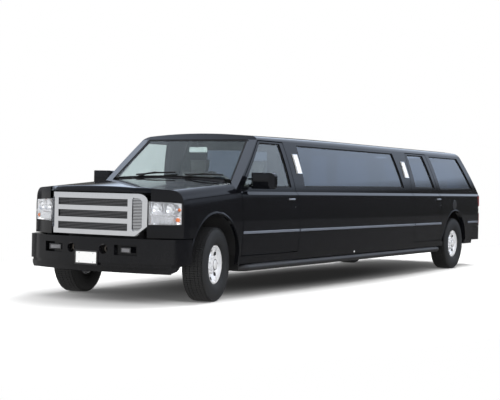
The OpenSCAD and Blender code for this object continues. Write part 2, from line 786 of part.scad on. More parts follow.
module opera_lamps() {
    color("white") both_sides() for (p = [opera_front_pts, opera_rear_pts])
        intersection() {
            along_x(xr(1400), xf(-1500)) wall_band(-10, 12, window_low, roof_split - 30);
            along_y(window_in, out_y) polygon(p);
        }
}

module dashboard() {
    color(dark) {
        intersection() {
            along_y(115 - half_w, half_w - 115) polygon([[xf(fender_end), 900], [xf(fender_end), 1130],
                [xf(-560), 1225], [xf(-800), 1215], [xf(-860), 1120], [xf(-780), 960], [xf(-640), 900]]);
            along_x(xf(-1000), xf(-400)) cabin_section(wall + 20, 200);
        }
        translate([xf(-820), 420, 1110]) rotate([0, -65, 0]) cylinder(r = 32, h = 190);
    }
}
module steering_wheel() {
    color(dark) translate([xf(-820), 420, 1110]) rotate([0, -65, 0]) translate([0, 0, 190 + seat]) {
        translate([0, 0, 18]) rotate_extrude() translate([185, 0]) circle(r = 16);
        cylinder(r = 55, h = 32);
        for (a = [0, 120, 240])
            rotate([0, 0, a]) translate([40, -15, 10]) cube([140, 30, 14]);
    }
}

// Seat with cushion and back; x is the front of the cushion, w its half-width
module chair(x, y, w) {
    z = floor_z + floor_t + seat;
    top = body_h - 480;
    box([x - 470, x - 60], [y - w + 50, y + w - 50], [z, z + 190]);
    along_y(y - w, y + w) polygon([[x, z + 190], [x, z + 330], [x - 430, z + 310], [x - 540, top],
        [x - 660, top], [x - 560, z + 190]]);
    box([x - 655, x - 555], [y - 130, y + 130], [top - 20, top + 170]);
}
module front_seats() {
    color(hide) for (y = [-420, 420])
        chair(xf(-1180), y, 260);
}
module side_bench() {
    z = floor_z + floor_t + seat;
    w = half_w - 120;
    color(hide) along_x(xr(1900), xf(-2200)) polygon([[-w, z], [465 - w, z], [495 - w, z + 380],
        [135 - w, z + 360], [100 - w, z + 680], [55 - w, z + 680], [-w, z + 380]]);
}
module rear_bench() {
    z = floor_z + floor_t + seat;
    color(hide) along_y(-640, 640) polygon([[xr(-60), z], [xr(-40), z + 400], [xr(-450), z + 370],
        [xr(-560), z + 760], [xr(-660), z + 760], [xr(-560), z]]);
}
module bar_cabinet() {
    z = floor_z + floor_t + seat;
    color(dark) box([xr(2300), xf(-2500)], [half_w - 455, half_w - 135], [z, z + 480]);
}
module partition() {
    color(dark) difference() {
        intersection() {
            box([xf(-2010), xf(-1970)], [-half_w, half_w], [floor_z + floor_t + seat, over_z]);
            along_x(xf(-2100), xf(-1900)) cabin_section(wall + seat, 200);
        }
        box([xf(-2100), xf(-1900)], [-450, 450], [belt_z + 125, body_h - 210]);
    }
}

module engine_block() {
    color(iron) {
        box([xf(-120), xf(480)], [-260, 260], [rail_z + rail_h + 30, 1060]);
        box([xf(-420), xf(-100)], [-170, 170], [480, 800]);
        box([xf(-760), xf(-400)], [-120, 120], [rail_z - 80, rail_z + 40]);
        for (s = [-1, 1])
            box([xf(100), xf(260)], [min(s * 240, s * (rail_in + 40)), max(s * 240, s * (rail_in + 40))],
                [rail_z + rail_h + seat, rail_z + rail_h + 60]);
    }
}
// The shaft leans a little, so its ends stand off by half a millimetre more
shaft_a = [xf(-760.5 - seat), rail_z - 40];
shaft_b = [xr(260.5 + seat), axle_z];
module driveshaft() {
    d = shaft_a - shaft_b;
    color(iron) translate([shaft_b.x, 0, shaft_b.y]) rotate([0, atan2(d.x, d.y), 0])
        cylinder(r = 50, h = norm(d));
}
module exhaust() {
    z = rail_z - 70;
    y = -290;
    // Side outlet ahead of the rear wheel
    outlet = xr(690);
    color(iron) {
        translate([outlet, y, z]) rotate([0, 90, 0]) cylinder(r = 36, h = xf(-700) - outlet);
        translate([outlet, y, z]) sphere(r = 36);
        translate([outlet, y, z]) rotate([90, 0, 0]) cylinder(r = 36, h = half_w - 115 + y);
        translate([xf(-3200), y, z]) rotate([0, 90, 0]) cylinder(r = 90, h = 700);
        for (x = [xf(-1500), xf(-2600), xf(-3700), xf(-4800), xr(1500)])
            box([x - 20, x + 20], [y - 10, y + 10], [z, rail_z + 50 - seat]);
    }
}
module fuel_tank() {
    y = rail_in + rail_w + 65;
    color(dark) {
        box([xf(-4280), xf(-3480)], [y, y + 320], [292, 520]);
        for (x = [xf(-4200), xf(-3560)])
            box([x - 30, x + 30], [y + 40, y + 280], [500, floor_z - seat]);
    }
}

module hood() {
    g = shut_gap;
    color(paint) difference() {
        intersection() {
            front_form(0);
            along_z(grille_z[1] + g, 1400) polygon(inset_outline(hood_pts, g));
        }
        front_form(front_wall);
        behind_windshield(-50);
    }
    color(paint) both_sides() along_y(hood_hinge_y + 18, hood_hinge_y + 48) difference() {
        union() {
            translate(hood_hinge) circle(r = 16);
            polygon([hood_hinge + [0, -14], [xf(-350), hood_z - 93], [xf(-350), hood_z - 63],
                hood_hinge + [0, 14]]);
        }
        translate(hood_hinge) circle(r = hinge_pin_r + hub_fit);
    }
}

// Left front corner: steering pivot frame and the hub frame on it
module pivot_frame() {
    translate([axle_f, kingpin_y, axle_z]) rotate([0, 0, steer_rest]) children();
}
module right_pivot_frame() {
    translate([axle_f, -kingpin_y, axle_z]) rotate([0, 0, steer_rest]) mirror([0, 1, 0]) children();
}
hub_out = track / 2 - kingpin_y;
module knuckle_shape() {
    color(iron) difference() {
        union() {
            translate([0, 0, -60 + seat]) cylinder(r = 30, h = 120 - 2 * seat);
            rotate([-90, 0, 0]) cylinder(r = 38, h = hub_out - 32);
            rotate([-90, 0, 0]) cylinder(r = hub_bore_r - hub_fit, h = hub_out + 40);
        }
        translate([0, 0, -100]) cylinder(r = 12 + hub_fit, h = 200);
    }
}
module wheel_shape() {
    color(chrome) rotate([-90, 0, 0]) difference() {
        union() {
            rotate_extrude() {
                translate([rim_r - 12, -100]) square([12, 200]);
                for (s = [-100, 88])
                    translate([rim_r - 12, s]) square([lip_r - rim_r + 12, 12]);
                polygon([[0, 42], [95, 42], [130, 30], [rim_r - 6, 52], [rim_r - 6, 66], [125, 46], [100, 62],
                    [68, 64], [62, 104], [0, 104]]);
                translate([0, -30]) square([64, 80]);
                translate([40, -28]) square([118, 20]);
            }
            for (i = [0:lug_count - 1])
                rotate([0, 0, 360 / lug_count * (i + 0.5)]) translate([82, 0, 55])
                    cylinder(r = 12, h = 32, $fn = 6);
        }
        translate([0, 0, -60]) cylinder(r = hub_bore_r, h = 110);
        for (i = [0:lug_count - 1])
            rotate([0, 0, 360 / lug_count * i]) translate([156, 0, 20]) cylinder(r = 24, h = 60);
    }
}
module tyre_shape() {
    h = tyre_w / 2;
    color(dark) rotate([-90, 0, 0]) rotate_extrude() difference() {
        intersection() {
            translate([rim_r + seat, -h]) square([tyre_r - rim_r - seat, 2 * h]);
            union() {
                for (s = [-1, 1])
                    translate([tyre_r - 92, s * (h - 150)]) circle(r = 150);
                polygon([[rim_r, -86], [tyre_r - 120, -h + 6], [tyre_r - 18, -h + 14], [tyre_r, -h + 34],
                    [tyre_r, h - 34], [tyre_r - 18, h - 14], [tyre_r - 120, h - 6], [rim_r, 86]]);
            }
        }
        for (s = [-300, 88 - seat])
            translate([0, s]) square([lip_r + seat, 212 + seat]);
        polygon([[rim_r - 10, -60], [tyre_r - 120, -h + 22], [tyre_r - 40, -h + 30], [tyre_r - 20, -h + 55],
            [tyre_r - 20, h - 55], [tyre_r - 40, h - 30], [tyre_r - 120, h - 22], [rim_r - 10, 60]]);
    }
}
module rear_hub(s) {
    translate([axle_r, s * track / 2, axle_z]) on_side(s) children();
}

// Door of one side: a skin within the gap and a narrower inner frame
module door_shape(pts, window) {
    difference() {
        union() {
            intersection() {
                along_x(xr(-600), xf(0)) wall_band(0, 28, sill_z, roof_split);
                along_y(window_in + 10, out_y) polygon(inset_outline(pts, shut_gap));
            }
            intersection() {
                along_x(xr(-600), xf(0)) wall_band(24, wall, sill_z, roof_split);
                along_y(window_in + 10, out_y) polygon(inset_outline(pts, shut_gap + 22));
            }
        }
        along_y(window_in + 10, out_y) polygon(window);
    }
}
module front_door(s) {
    color(paint) on_side(s) {
        door_shape(front_door_pts, front_window_pts);
        door_knuckles(front_edge);
    }
}
module rear_door(s) {
    color(paint) on_side(s) {
        door_shape(rear_door_pts, rear_window_pts);
        door_knuckles(rear_edge);
    }
}
// Mirror housing: a rounded face, full in front and flat behind
module mirror_shape() {
    y0 = half_w - 42;
    w = 312;
    z0 = 1228;
    h = 182;
    r = 48;
    x = xf(-800);
    color(dark) difference() {
        union() {
            intersection() {
                along_x(x, x + 130) {
                    translate([y0 + r, z0]) square([w - 2 * r, h]);
                    translate([y0, z0 + r]) square([w, h - 2 * r]);
                    for (y = [y0 + r, y0 + w - r], z = [z0 + r, z0 + h - r])
                        translate([y, z]) circle(r);
                }
                along_z(z0 - 10, z0 + h + 10) translate([x - 40, y0 + w / 2]) circle(182);
                along_y(y0 - 10, y0 + w + 10) translate([x - 60, z0 + h / 2]) circle(178);
            }
            box([x + 10, x + 70], [half_w - 135, y0 + 40], [z0 + 20, z0 + 52]);
            box([x + 10, x + 70], [half_w - 135, y0 + 40], [z0 + 100, z0 + 120]);
        }
        along_x(xf(-1000), xf(-500)) cabin_section(-seat, sill_z);
    }
}

module liftgate() {
    color(paint) {
        difference() {
            intersection() {
                rear_slab(0, wall);
                along_x(xr(-1300), xr(-300)) polygon(inset_outline(tailgate_pts, shut_gap));
            }
            along_x(xr(-1300), xr(-300)) polygon(tailgate_window_pts);
        }
        both_sides() along_y(448, 479) difference() {
            union() {
                translate(gate_hinge) circle(r = 10);
                translate(gate_hinge + [-9, -25]) square([18, 25]);
            }
            translate(gate_hinge) circle(r = hinge_pin_r + hub_fit);
        }
    }
}
module liftgate_glass() {
    color(tint) intersection() {
        rear_slab(glass_set, glass_set + glass_t);
        along_x(xr(-1300), xr(-300)) polygon(inset_outline(tailgate_window_pts, seat));
    }
}

module side_left() { side_panel(1); }
module side_right() { side_panel(-1); }
module fender_left() { fender(1); }
module fender_right() { fender(-1); }
module knuckle_left() { pivot_frame() knuckle_shape(); }
module knuckle_right() { right_pivot_frame() knuckle_shape(); }
module wheel_front_left() { pivot_frame() translate([0, hub_out, 0]) wheel_shape(); }
module wheel_front_right() { right_pivot_frame() translate([0, hub_out, 0]) wheel_shape(); }
module tyre_front_left() { pivot_frame() translate([0, hub_out, 0]) tyre_shape(); }
module tyre_front_right() { right_pivot_frame() translate([0, hub_out, 0]) tyre_shape(); }
module wheel_rear_left() { rear_hub(1) wheel_shape(); }
module wheel_rear_right() { rear_hub(-1) wheel_shape(); }
module tyre_rear_left() { rear_hub(1) tyre_shape(); }
module tyre_rear_right() { rear_hub(-1) tyre_shape(); }
module door_front_left() { front_door(1); }
module door_front_right() { front_door(-1); }
module door_rear_left() { rear_door(1); }
module door_rear_right() { rear_door(-1); }
module glass_front_left() { color(tint) pane(front_window_pts); }
module glass_front_right() { color(tint) on_side(-1) pane(front_window_pts); }
module glass_rear_left() { color(tint) pane(rear_window_pts); }
module glass_rear_right() { color(tint) on_side(-1) pane(rear_window_pts); }
module mirror_left() { mirror_shape(); }
module mirror_right() { on_side(-1) mirror_shape(); }

frame();
front_axle();
rear_axle();
leaf_springs();
floor_pan();
cowl();
roof();
side_left();
side_right();
fender_left();
fender_right();
grille();
radiator();
front_bumper();
rear_bumper();
front_plate();
windshield();
side_glass();
headlamps();
taillamps();
running_boards();
opera_lamps();
dashboard();
steering_wheel();
front_seats();
side_bench();
rear_bench();
bar_cabinet();
partition();
engine_block();
driveshaft();
exhaust();
fuel_tank();
hood();
knuckle_left();
knuckle_right();
wheel_front_left();
wheel_front_right();
wheel_rear_left();
wheel_rear_right();
tyre_front_left();
tyre_front_right();
tyre_rear_left();
tyre_rear_right();
door_front_left();
door_front_right();
door_rear_left();
door_rear_right();
glass_front_left();
glass_front_right();
glass_rear_left();
glass_rear_right();
mirror_left();
mirror_right();
liftgate();
liftgate_glass();
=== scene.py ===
import bpy
import bmesh
import math
from mathutils import Matrix, Vector
from mathutils.bvhtree import BVHTree


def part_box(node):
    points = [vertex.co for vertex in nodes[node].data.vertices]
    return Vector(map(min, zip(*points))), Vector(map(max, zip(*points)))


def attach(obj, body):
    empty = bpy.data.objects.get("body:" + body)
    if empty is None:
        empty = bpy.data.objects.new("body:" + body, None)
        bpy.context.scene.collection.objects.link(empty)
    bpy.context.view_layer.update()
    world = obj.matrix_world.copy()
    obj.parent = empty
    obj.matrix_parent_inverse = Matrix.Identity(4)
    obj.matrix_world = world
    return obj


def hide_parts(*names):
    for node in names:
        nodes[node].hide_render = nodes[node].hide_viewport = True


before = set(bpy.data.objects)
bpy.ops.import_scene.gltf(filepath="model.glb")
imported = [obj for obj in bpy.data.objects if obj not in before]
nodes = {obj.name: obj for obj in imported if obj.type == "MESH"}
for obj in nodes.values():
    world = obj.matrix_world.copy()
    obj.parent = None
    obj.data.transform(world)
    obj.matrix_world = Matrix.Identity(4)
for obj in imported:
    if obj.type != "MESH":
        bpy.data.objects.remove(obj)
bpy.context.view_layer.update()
scene = bpy.context.scene
scene.view_settings.view_transform = "Standard"
print("frame loaded:", len(nodes), "nodes")


# camera and studio
view = {
    "place": (14.109, 7.701, 1.270),
    "yaw": 210.41, "pitch": -0.68, "roll": 1.21,
    "lens": 82.87, "sensor": 36, "shiftX": -0.0286, "shiftY": -0.0022, "farthest": 200,
}


def placeCamera():
    yaw, pitch, roll = (math.radians(view[k]) for k in ("yaw", "pitch", "roll"))
    ahead = Vector((math.cos(yaw) * math.cos(pitch), math.sin(yaw) * math.cos(pitch), math.sin(pitch)))
    right = ahead.cross(Vector((0, 0, 1))).normalized()
    up = right.cross(ahead)
    rolledRight = math.cos(roll) * right + math.sin(roll) * up
    rolledUp = -math.sin(roll) * right + math.cos(roll) * up
    data = bpy.data.cameras.new("camera")
    data.lens, data.sensor_width = view["lens"], view["sensor"]
    data.shift_x, data.shift_y = view["shiftX"], view["shiftY"]
    data.clip_end = view["farthest"]
    camera = bpy.data.objects.new("camera", data)
    scene.collection.objects.link(camera)
    turn = Matrix((rolledRight, rolledUp, -ahead)).transposed().to_4x4()
    camera.matrix_world = Matrix.Translation(view["place"]) @ turn
    scene.camera = camera


def shaderNode(tree, kind, **settings):
    made = tree.nodes.new("ShaderNode" + kind)
    for key, value in settings.items():
        if hasattr(made, key):
            setattr(made, key, value)
        else:
            made.inputs[key.replace("_", " ")].default_value = value
    return made


def mathNode(tree, operation, first, second, **settings):
    # first and second are sockets to link or plain numbers
    made = shaderNode(tree, "Math", operation=operation, **settings)
    for slot, given in zip(made.inputs, (first, second)):
        if isinstance(given, (int, float)):
            slot.default_value = given
        else:
            tree.links.new(given, slot)
    return made.outputs[0]


def ranged(tree, value, source=(0, 1), target=(0, 1), smooth=False):
    made = shaderNode(tree, "MapRange", From_Min=source[0], From_Max=source[1],
                      To_Min=target[0], To_Max=target[1])
    if smooth:
        made.interpolation_type = "SMOOTHSTEP"
    tree.links.new(value, made.inputs["Value"])
    return made.outputs[0]


def mixShaders(tree, factor, first, second):
    made = shaderNode(tree, "MixShader")
    for slot, source in zip(made.inputs, (factor, first, second)):
        tree.links.new(source, slot)
    return made.outputs[0]


def backgroundRay(tree):
    path = shaderNode(tree, "LightPath").outputs
    direct = mathNode(tree, "MAXIMUM", path["Is Camera Ray"], path["Is Glossy Ray"])
    return mathNode(tree, "MAXIMUM", direct, path["Is Transmission Ray"])


def mirrorRay(tree):
    # rays bent by glass count as glossy too, so they are taken off
    path = shaderNode(tree, "LightPath").outputs
    return mathNode(tree, "SUBTRACT", path["Is Glossy Ray"], path["Is Transmission Ray"], use_clamp=True)


plainWhite = (1, 1, 1, 1)
studio = {
    "ambient": 0.50,      # world strength for diffuse light
    "floorGrey": 0.86,
    "floorGlow": 0.16,    # brings the lit floor up to white for the camera
    "floorSize": 120,
    # half-axes of the floor that keeps the shadow and of the painted shadow, a dark patch painted on the floor
    # under the car, each with its fade
    "shadowReach": (6.4, 2.9), "fade": (1.0, 1.7),
    "paintedShadowAxes": (4.6, 1.30), "paintedShadowFade": (0.30, 1.55), "paintedShadowGrey": 0.04, "paintedShadowCore": 0.10,
    # what reflections see by height, ahead of the car and behind it, and where one turns into the other
    "ahead": ((0.0, (0.74, 0.76, 0.80)), (0.05, (0.78, 0.80, 0.84)), (0.14, (0.94, 0.96, 1.0)),
              (0.55, (0.85, 0.9, 1.0)), (0.85, (0.40, 0.45, 0.55))),
    "behind": ((0.0, (0.10, 0.10, 0.09)), (0.115, (0.12, 0.12, 0.12)), (0.16, (1.0, 1.16, 1.42)),
               (0.35, (1.25, 1.42, 1.72)), (0.85, (0.40, 0.45, 0.55))),
    "turn": (-0.10, 0.40),
    "farShine": (0.88, 0.20), "farTurn": (-5.2, -3.2),     # floor in reflections, ahead and behind
    # place, size and power
    "lights": {"keyLight": ((9, 11, 9), 9, 1500), "fillLight": ((12, -8, 6), 8, 700),
               "topLight": ((-3, 1, 10), 11, 1900)},
    "lightAim": (0, 0, 0.8),
}


def buildWorld():
    world = bpy.data.worlds.new("studio")
    scene.world = world
    world.use_nodes = True
    tree = world.node_tree
    tree.nodes.clear()
    link = tree.links.new
    split = shaderNode(tree, "SeparateXYZ")
    link(shaderNode(tree, "TexCoord").outputs["Generated"], split.inputs[0])
    around = shaderNode(tree, "Mix", data_type="RGBA")
    for socket, name in (("A", "ahead"), ("B", "behind")):
        band = shaderNode(tree, "ValToRGB")
        for k, (spot, colour) in enumerate(studio[name]):
            stop = band.color_ramp.elements[k] if k < 2 else band.color_ramp.elements.new(spot)
            stop.position, stop.color = spot, (*colour, 1)
        link(split.outputs["Z"], band.inputs[0])
        link(band.outputs["Color"], around.inputs[socket])
    back = mathNode(tree, "MULTIPLY", split.outputs["X"], -1)
    link(ranged(tree, back, studio["turn"], smooth=True), around.inputs["Factor"])
    sky = shaderNode(tree, "Mix", data_type="RGBA", A=plainWhite)
    link(mirrorRay(tree), sky.inputs["Factor"])
    link(around.outputs["Result"], sky.inputs["B"])
    soft = shaderNode(tree, "Background", Color=plainWhite, Strength=studio["ambient"])
    seen = shaderNode(tree, "Background", Strength=1.0)
    link(sky.outputs["Result"], seen.inputs["Color"])
    mixed = mixShaders(tree, backgroundRay(tree), soft.outputs[0], seen.outputs[0])
    link(mixed, shaderNode(tree, "OutputWorld").inputs["Surface"])


def floorFinish():
    material = bpy.data.materials.new("paleFloor")
    material.use_nodes = True
    tree = material.node_tree
    tree.nodes.clear()
    link = tree.links.new
    spot = shaderNode(tree, "TexCoord").outputs["Object"]

    def reach(halfAxes):
        squeeze = shaderNode(tree, "Mapping", Scale=(1 / halfAxes[0], 1 / halfAxes[1], 0))
        length = shaderNode(tree, "VectorMath", operation="LENGTH")
        link(spot, squeeze.inputs["Vector"])
        link(squeeze.outputs[0], length.inputs[0])
        return length.outputs["Value"]

    seen, mirror = backgroundRay(tree), mirrorRay(tree)
    # painted shadow: the floor's colour and its glow are made darker under the car
    paintedShadowLevel = ranged(tree, reach(studio["paintedShadowAxes"]), studio["paintedShadowFade"], (studio["paintedShadowCore"], 1), True)
    matt = shaderNode(tree, "BsdfDiffuse")
    link(ranged(tree, paintedShadowLevel, (0, 1), (studio["paintedShadowGrey"], studio["floorGrey"])), matt.inputs["Color"])
    glow = shaderNode(tree, "Emission", Color=plainWhite)
    level = mathNode(tree, "MULTIPLY", seen, studio["floorGlow"])
    link(mathNode(tree, "MULTIPLY", level, paintedShadowLevel), glow.inputs["Strength"])
    lit = shaderNode(tree, "AddShader")
    link(matt.outputs[0], lit.inputs[0])
    link(glow.outputs[0], lit.inputs[1])
    # away from the car the floor is plain white for the camera and darker behind in reflections
    parts = shaderNode(tree, "SeparateXYZ")
    link(spot, parts.inputs[0])
    back = mathNode(tree, "MULTIPLY", parts.outputs["X"], -1)
    shine = shaderNode(tree, "MapRange", To_Min=1.0)
    link(ranged(tree, back, studio["farTurn"], studio["farShine"], True), shine.inputs["To Max"])
    link(mirror, shine.inputs["Value"])
    plain = shaderNode(tree, "Emission", Color=plainWhite)
    link(shine.outputs[0], plain.inputs["Strength"])
    fade = ranged(tree, reach(studio["shadowReach"]), studio["fade"], smooth=True)
    far = mathNode(tree, "MAXIMUM", mathNode(tree, "MULTIPLY", fade, seen), mirror)
    mixed = mixShaders(tree, far, lit.outputs[0], plain.outputs[0])
    link(mixed, shaderNode(tree, "OutputMaterial").inputs["Surface"])
    return material


def buildStudio():
    buildWorld()
    bm = bmesh.new()
    bmesh.ops.create_grid(bm, x_segments=1, y_segments=1, size=studio["floorSize"])
    mesh = bpy.data.meshes.new("floor")
    bm.to_mesh(mesh)
    bm.free()
    mesh.materials.append(floorFinish())
    floor = bpy.data.objects.new("floor", mesh)
    scene.collection.objects.link(floor)
    for name, (place, size, power) in studio["lights"].items():
        data = bpy.data.lights.new(name, "AREA")
        data.shape, data.size, data.energy = "DISK", size, power
        lamp = bpy.data.objects.new(name, data)
        lamp.location = place
        aim = Vector(studio["lightAim"]) - Vector(place)
        lamp.rotation_euler = aim.to_track_quat("-Z", "Y").to_euler()
        lamp.visible_glossy = lamp.visible_camera = False
        scene.collection.objects.link(lamp)


placeCamera()
buildStudio()
print("camera and studio ready")


# shared surface effects
def newGroup(name, inputs, outputs):
    group = bpy.data.node_groups.new(name, "ShaderNodeTree")
    for label, value in inputs:
        socket = group.interface.new_socket(label, in_out="INPUT", socket_type="NodeSocketFloat")
        socket.default_value = value
    for label in outputs:
        group.interface.new_socket(label, in_out="OUTPUT", socket_type="NodeSocketFloat")
    return group, group.nodes.new("NodeGroupInput"), group.nodes.new("NodeGroupOutput")


def makeGrain():
    # fine even texture: a mask from 0 to 1
    group, given, made = newGroup("fineGrain", (("Scale", 400.0), ("Detail", 3.0)), ("Mask",))
    noise = shaderNode(group, "TexNoise", Roughness=0.6)
    group.links.new(shaderNode(group, "TexCoord").outputs["Object"], noise.inputs["Vector"])
    for label in ("Scale", "Detail"):
        group.links.new(given.outputs[label], noise.inputs[label])
    group.links.new(noise.outputs["Fac"], made.inputs["Mask"])
    return group


def makeDust():
    # road dust: thick near the ground, broken up by noise
    group, given, made = newGroup("roadDust", (("Low", 0.2), ("High", 0.9), ("Amount", 1.0)), ("Mask",))
    link = group.links.new
    spot = shaderNode(group, "TexCoord").outputs["Object"]
    split = shaderNode(group, "SeparateXYZ")
    height = shaderNode(group, "MapRange", To_Min=1, To_Max=0)
    link(spot, split.inputs[0])
    link(split.outputs["Z"], height.inputs["Value"])
    link(given.outputs["Low"], height.inputs["From Min"])
    link(given.outputs["High"], height.inputs["From Max"])
    patchy = shaderNode(group, "TexNoise", Scale=5.0, Detail=6.0, Roughness=0.65)
    link(spot, patchy.inputs["Vector"])
    film = mathNode(group, "MULTIPLY", height.outputs[0], ranged(group, patchy.outputs["Fac"], (0.3, 0.75)))
    link(mathNode(group, "MULTIPLY", film, given.outputs["Amount"], use_clamp=True), made.inputs["Mask"])
    return group


grainGroup = makeGrain()
dustGroup = makeDust()
dustRough = 0.85
bumpDistance = 0.001


# finishes
def finishOf(name, colour, second, rough, grain, dust=None, bump=0.0, **fixed):
    # colour varies to second by the grain mask; rough is a pair; dust adds a dry film
    material = bpy.data.materials.new(name)
    material.use_nodes = True
    tree = material.node_tree
    shader = tree.nodes["Principled BSDF"]
    link = tree.links.new
    mask = shaderNode(tree, "Group", node_tree=grainGroup, Scale=grain[0], Detail=grain[1]).outputs["Mask"]
    tone = shaderNode(tree, "Mix", data_type="RGBA", A=(*colour, 1), B=(*second, 1))
    link(mask, tone.inputs["Factor"])
    colourOut, roughOut = tone.outputs["Result"], ranged(tree, mask, (0, 1), rough)
    if dust:
        low, high, amount, tint = dust
        film = shaderNode(tree, "Group", node_tree=dustGroup, Low=low, High=high, Amount=amount)
        dusty = shaderNode(tree, "Mix", data_type="RGBA", B=(*tint, 1))
        dry = shaderNode(tree, "Mix", data_type="FLOAT", B=dustRough)
        for mixed, clean in ((dusty, colourOut), (dry, roughOut)):
            link(film.outputs["Mask"], mixed.inputs["Factor"])
            link(clean, mixed.inputs["A"])
        colourOut, roughOut = dusty.outputs["Result"], dry.outputs["Result"]
    link(colourOut, shader.inputs["Base Color"])
    link(roughOut, shader.inputs["Roughness"])
    if bump:
        raised = shaderNode(tree, "Bump", Strength=bump, Distance=bumpDistance)
        link(mask, raised.inputs["Height"])
        link(raised.outputs[0], shader.inputs["Normal"])
    for label, value in fixed.items():
        shader.inputs[label.replace("_", " ")].default_value = value
    return material


def glassOf(name, colour, rough, bend=1.45, sheen=(1, 1, 1)):
    # tinted pane: light passes straight through it, so the cabin isn't black
    material = finishOf(name, colour, [c * 0.92 for c in colour], (rough, rough * 2), (3, 2),
                        Transmission_Weight=1.0, IOR=bend, Specular_Tint=(*sheen, 1))
    tree = material.node_tree
    path = shaderNode(tree, "LightPath")
    clear = shaderNode(tree, "BsdfTransparent", Color=(*colour, 1))
    mixed = mixShaders(tree, path.outputs["Is Shadow Ray"], tree.nodes["Principled BSDF"].outputs[0],
                       clear.outputs[0])
    tree.links.new(mixed, tree.nodes["Material Output"].inputs["Surface"])
    return material


dirt = (0.05, 0.045, 0.04)
blackPaint = finishOf("blackPaint", (0.0030, 0.0033, 0.0045), (0.0042, 0.0045, 0.0058), (0.03, 0.07), (260, 2),
                      (0.30, 0.80, 0.10, dirt), 0.02, Specular_IOR_Level=0.20)
brightPlate = finishOf("brightPlate", (0.56, 0.57, 0.59), (0.68, 0.69, 0.71), (0.06, 0.14), (60, 4),
                       (0.30, 1.0, 0.10, dirt), Metallic=1.0)
billetGrey = finishOf("billetGrey", (0.10, 0.10, 0.105), (0.17, 0.17, 0.175), (0.24, 0.36), (240, 4),
                      Metallic=1.0)
wheelAlloy = finishOf("wheelAlloy", (0.82, 0.83, 0.85), (0.92, 0.92, 0.93), (0.16, 0.28), (120, 4),
                      (0.0, 0.7, 0.08, dirt), 0.05, Metallic=0.5)
tyreRubber = finishOf("tyreRubber", (0.006, 0.006, 0.0065), (0.014, 0.014, 0.014), (0.55, 0.8), (180, 6),
                      (0.0, 0.5, 0.22, (0.05, 0.046, 0.042)), 0.25)
trimBlack = finishOf("trimBlack", (0.009, 0.009, 0.010), (0.015, 0.015, 0.016), (0.38, 0.55), (700, 3),
                     (0.2, 0.8, 0.22, dirt), 0.3)
chassisIron = finishOf("chassisIron", (0.012, 0.012, 0.013), (0.035, 0.030, 0.026), (0.55, 0.85), (22, 7),
                       (0.0, 0.9, 0.6, dirt), 0.3)
sootSteel = finishOf("sootSteel", (0.16, 0.15, 0.14), (0.26, 0.22, 0.18), (0.35, 0.6), (25, 6),
                     (0.0, 0.8, 0.5, dirt), 0.15, Metallic=0.8)
tankGrey = finishOf("tankGrey", (0.045, 0.045, 0.047), (0.08, 0.078, 0.075), (0.5, 0.75), (40, 6),
                    (0.0, 0.7, 0.5, dirt), 0.2)
privacyGlass = glassOf("privacyGlass", (0.10, 0.13, 0.19), 0.01, 1.75, (0.82, 0.91, 1.0))
cabGlass = glassOf("cabGlass", (0.74, 0.82, 0.82), 0.005, 1.55, (0.88, 0.95, 1.0))
lampClear = glassOf("lampClear", (0.95, 0.96, 0.97), 0.01)
rubberBlack = finishOf("rubberBlack", (0.006, 0.006, 0.006), (0.012, 0.012, 0.012), (0.5, 0.7), (500, 3),
                       bump=0.2)
mirrorSilver = finishOf("mirrorSilver", (0.70, 0.71, 0.72), (0.76, 0.77, 0.78), (0.01, 0.03), (12, 3),
                        Metallic=1.0)
lampWhite = finishOf("lampWhite", (0.64, 0.65, 0.65), (0.74, 0.74, 0.73), (0.25, 0.4), (60, 3), bump=0.05)
lampRed = finishOf("lampRed", (0.09, 0.004, 0.004), (0.14, 0.007, 0.006), (0.08, 0.16), (50, 3))
lampSilver = finishOf("lampSilver", (0.68, 0.69, 0.71), (0.80, 0.80, 0.82), (0.12, 0.22), (60, 3),
                      Metallic=0.75)
amberLamp = finishOf("amberLamp", (0.52, 0.13, 0.04), (0.66, 0.20, 0.07), (0.12, 0.25), (90, 3))
fogLens = finishOf("fogLens", (0.10, 0.10, 0.11), (0.20, 0.20, 0.21), (0.06, 0.16), (110, 3))
# bluish grey standing for the sky reflected in the black strip: a painted reflection
stripPaintedSheen = finishOf("stripPaintedSheen", (0.085, 0.098, 0.125), (0.105, 0.118, 0.145), (0.25, 0.4), (200, 3),
                      bump=0.03)
plateWhite = finishOf("plateWhite", (0.74, 0.75, 0.74), (0.82, 0.82, 0.81), (0.3, 0.45), (35, 4), bump=0.03)
cabinHide = finishOf("cabinHide", (0.060, 0.056, 0.052), (0.10, 0.094, 0.088), (0.42, 0.6), (160, 5), bump=0.5)
cabinTrim = finishOf("cabinTrim", (0.030, 0.030, 0.032), (0.052, 0.052, 0.054), (0.5, 0.7), (300, 3), bump=0.3)
print("finishes ready")


# side section: (centre y, centre z) of the lower arc and of the window arc, the crease between them,
# and the least cosine between a face and the section
section = {"lower": (-1.5850, 0.8000), "upper": (-2.6092, 0.6889), "crease": (1.160, 1.195), "near": 0.985}
# degrees of a sharp edge, weight of large faces, step of the cuts along the paint
shading = {"sharp": 32, "gateSharp": 12, "weight": 50, "cut": 0.21}
weld = 0.00002
alongX, alongZ = Vector((1, 0, 0)), Vector((0, 0, 1))


def skinNormal(spot, height):
    if section["crease"][0] < height < section["crease"][1]:
        aim = Vector((0, 1, 1))
    else:
        y, z = section["lower" if height < section["crease"][1] else "upper"]
        aim = Vector((0, abs(spot.y) - y, spot.z - z))
    if spot.y < 0:
        aim.y = -aim.y
    return aim.normalized()


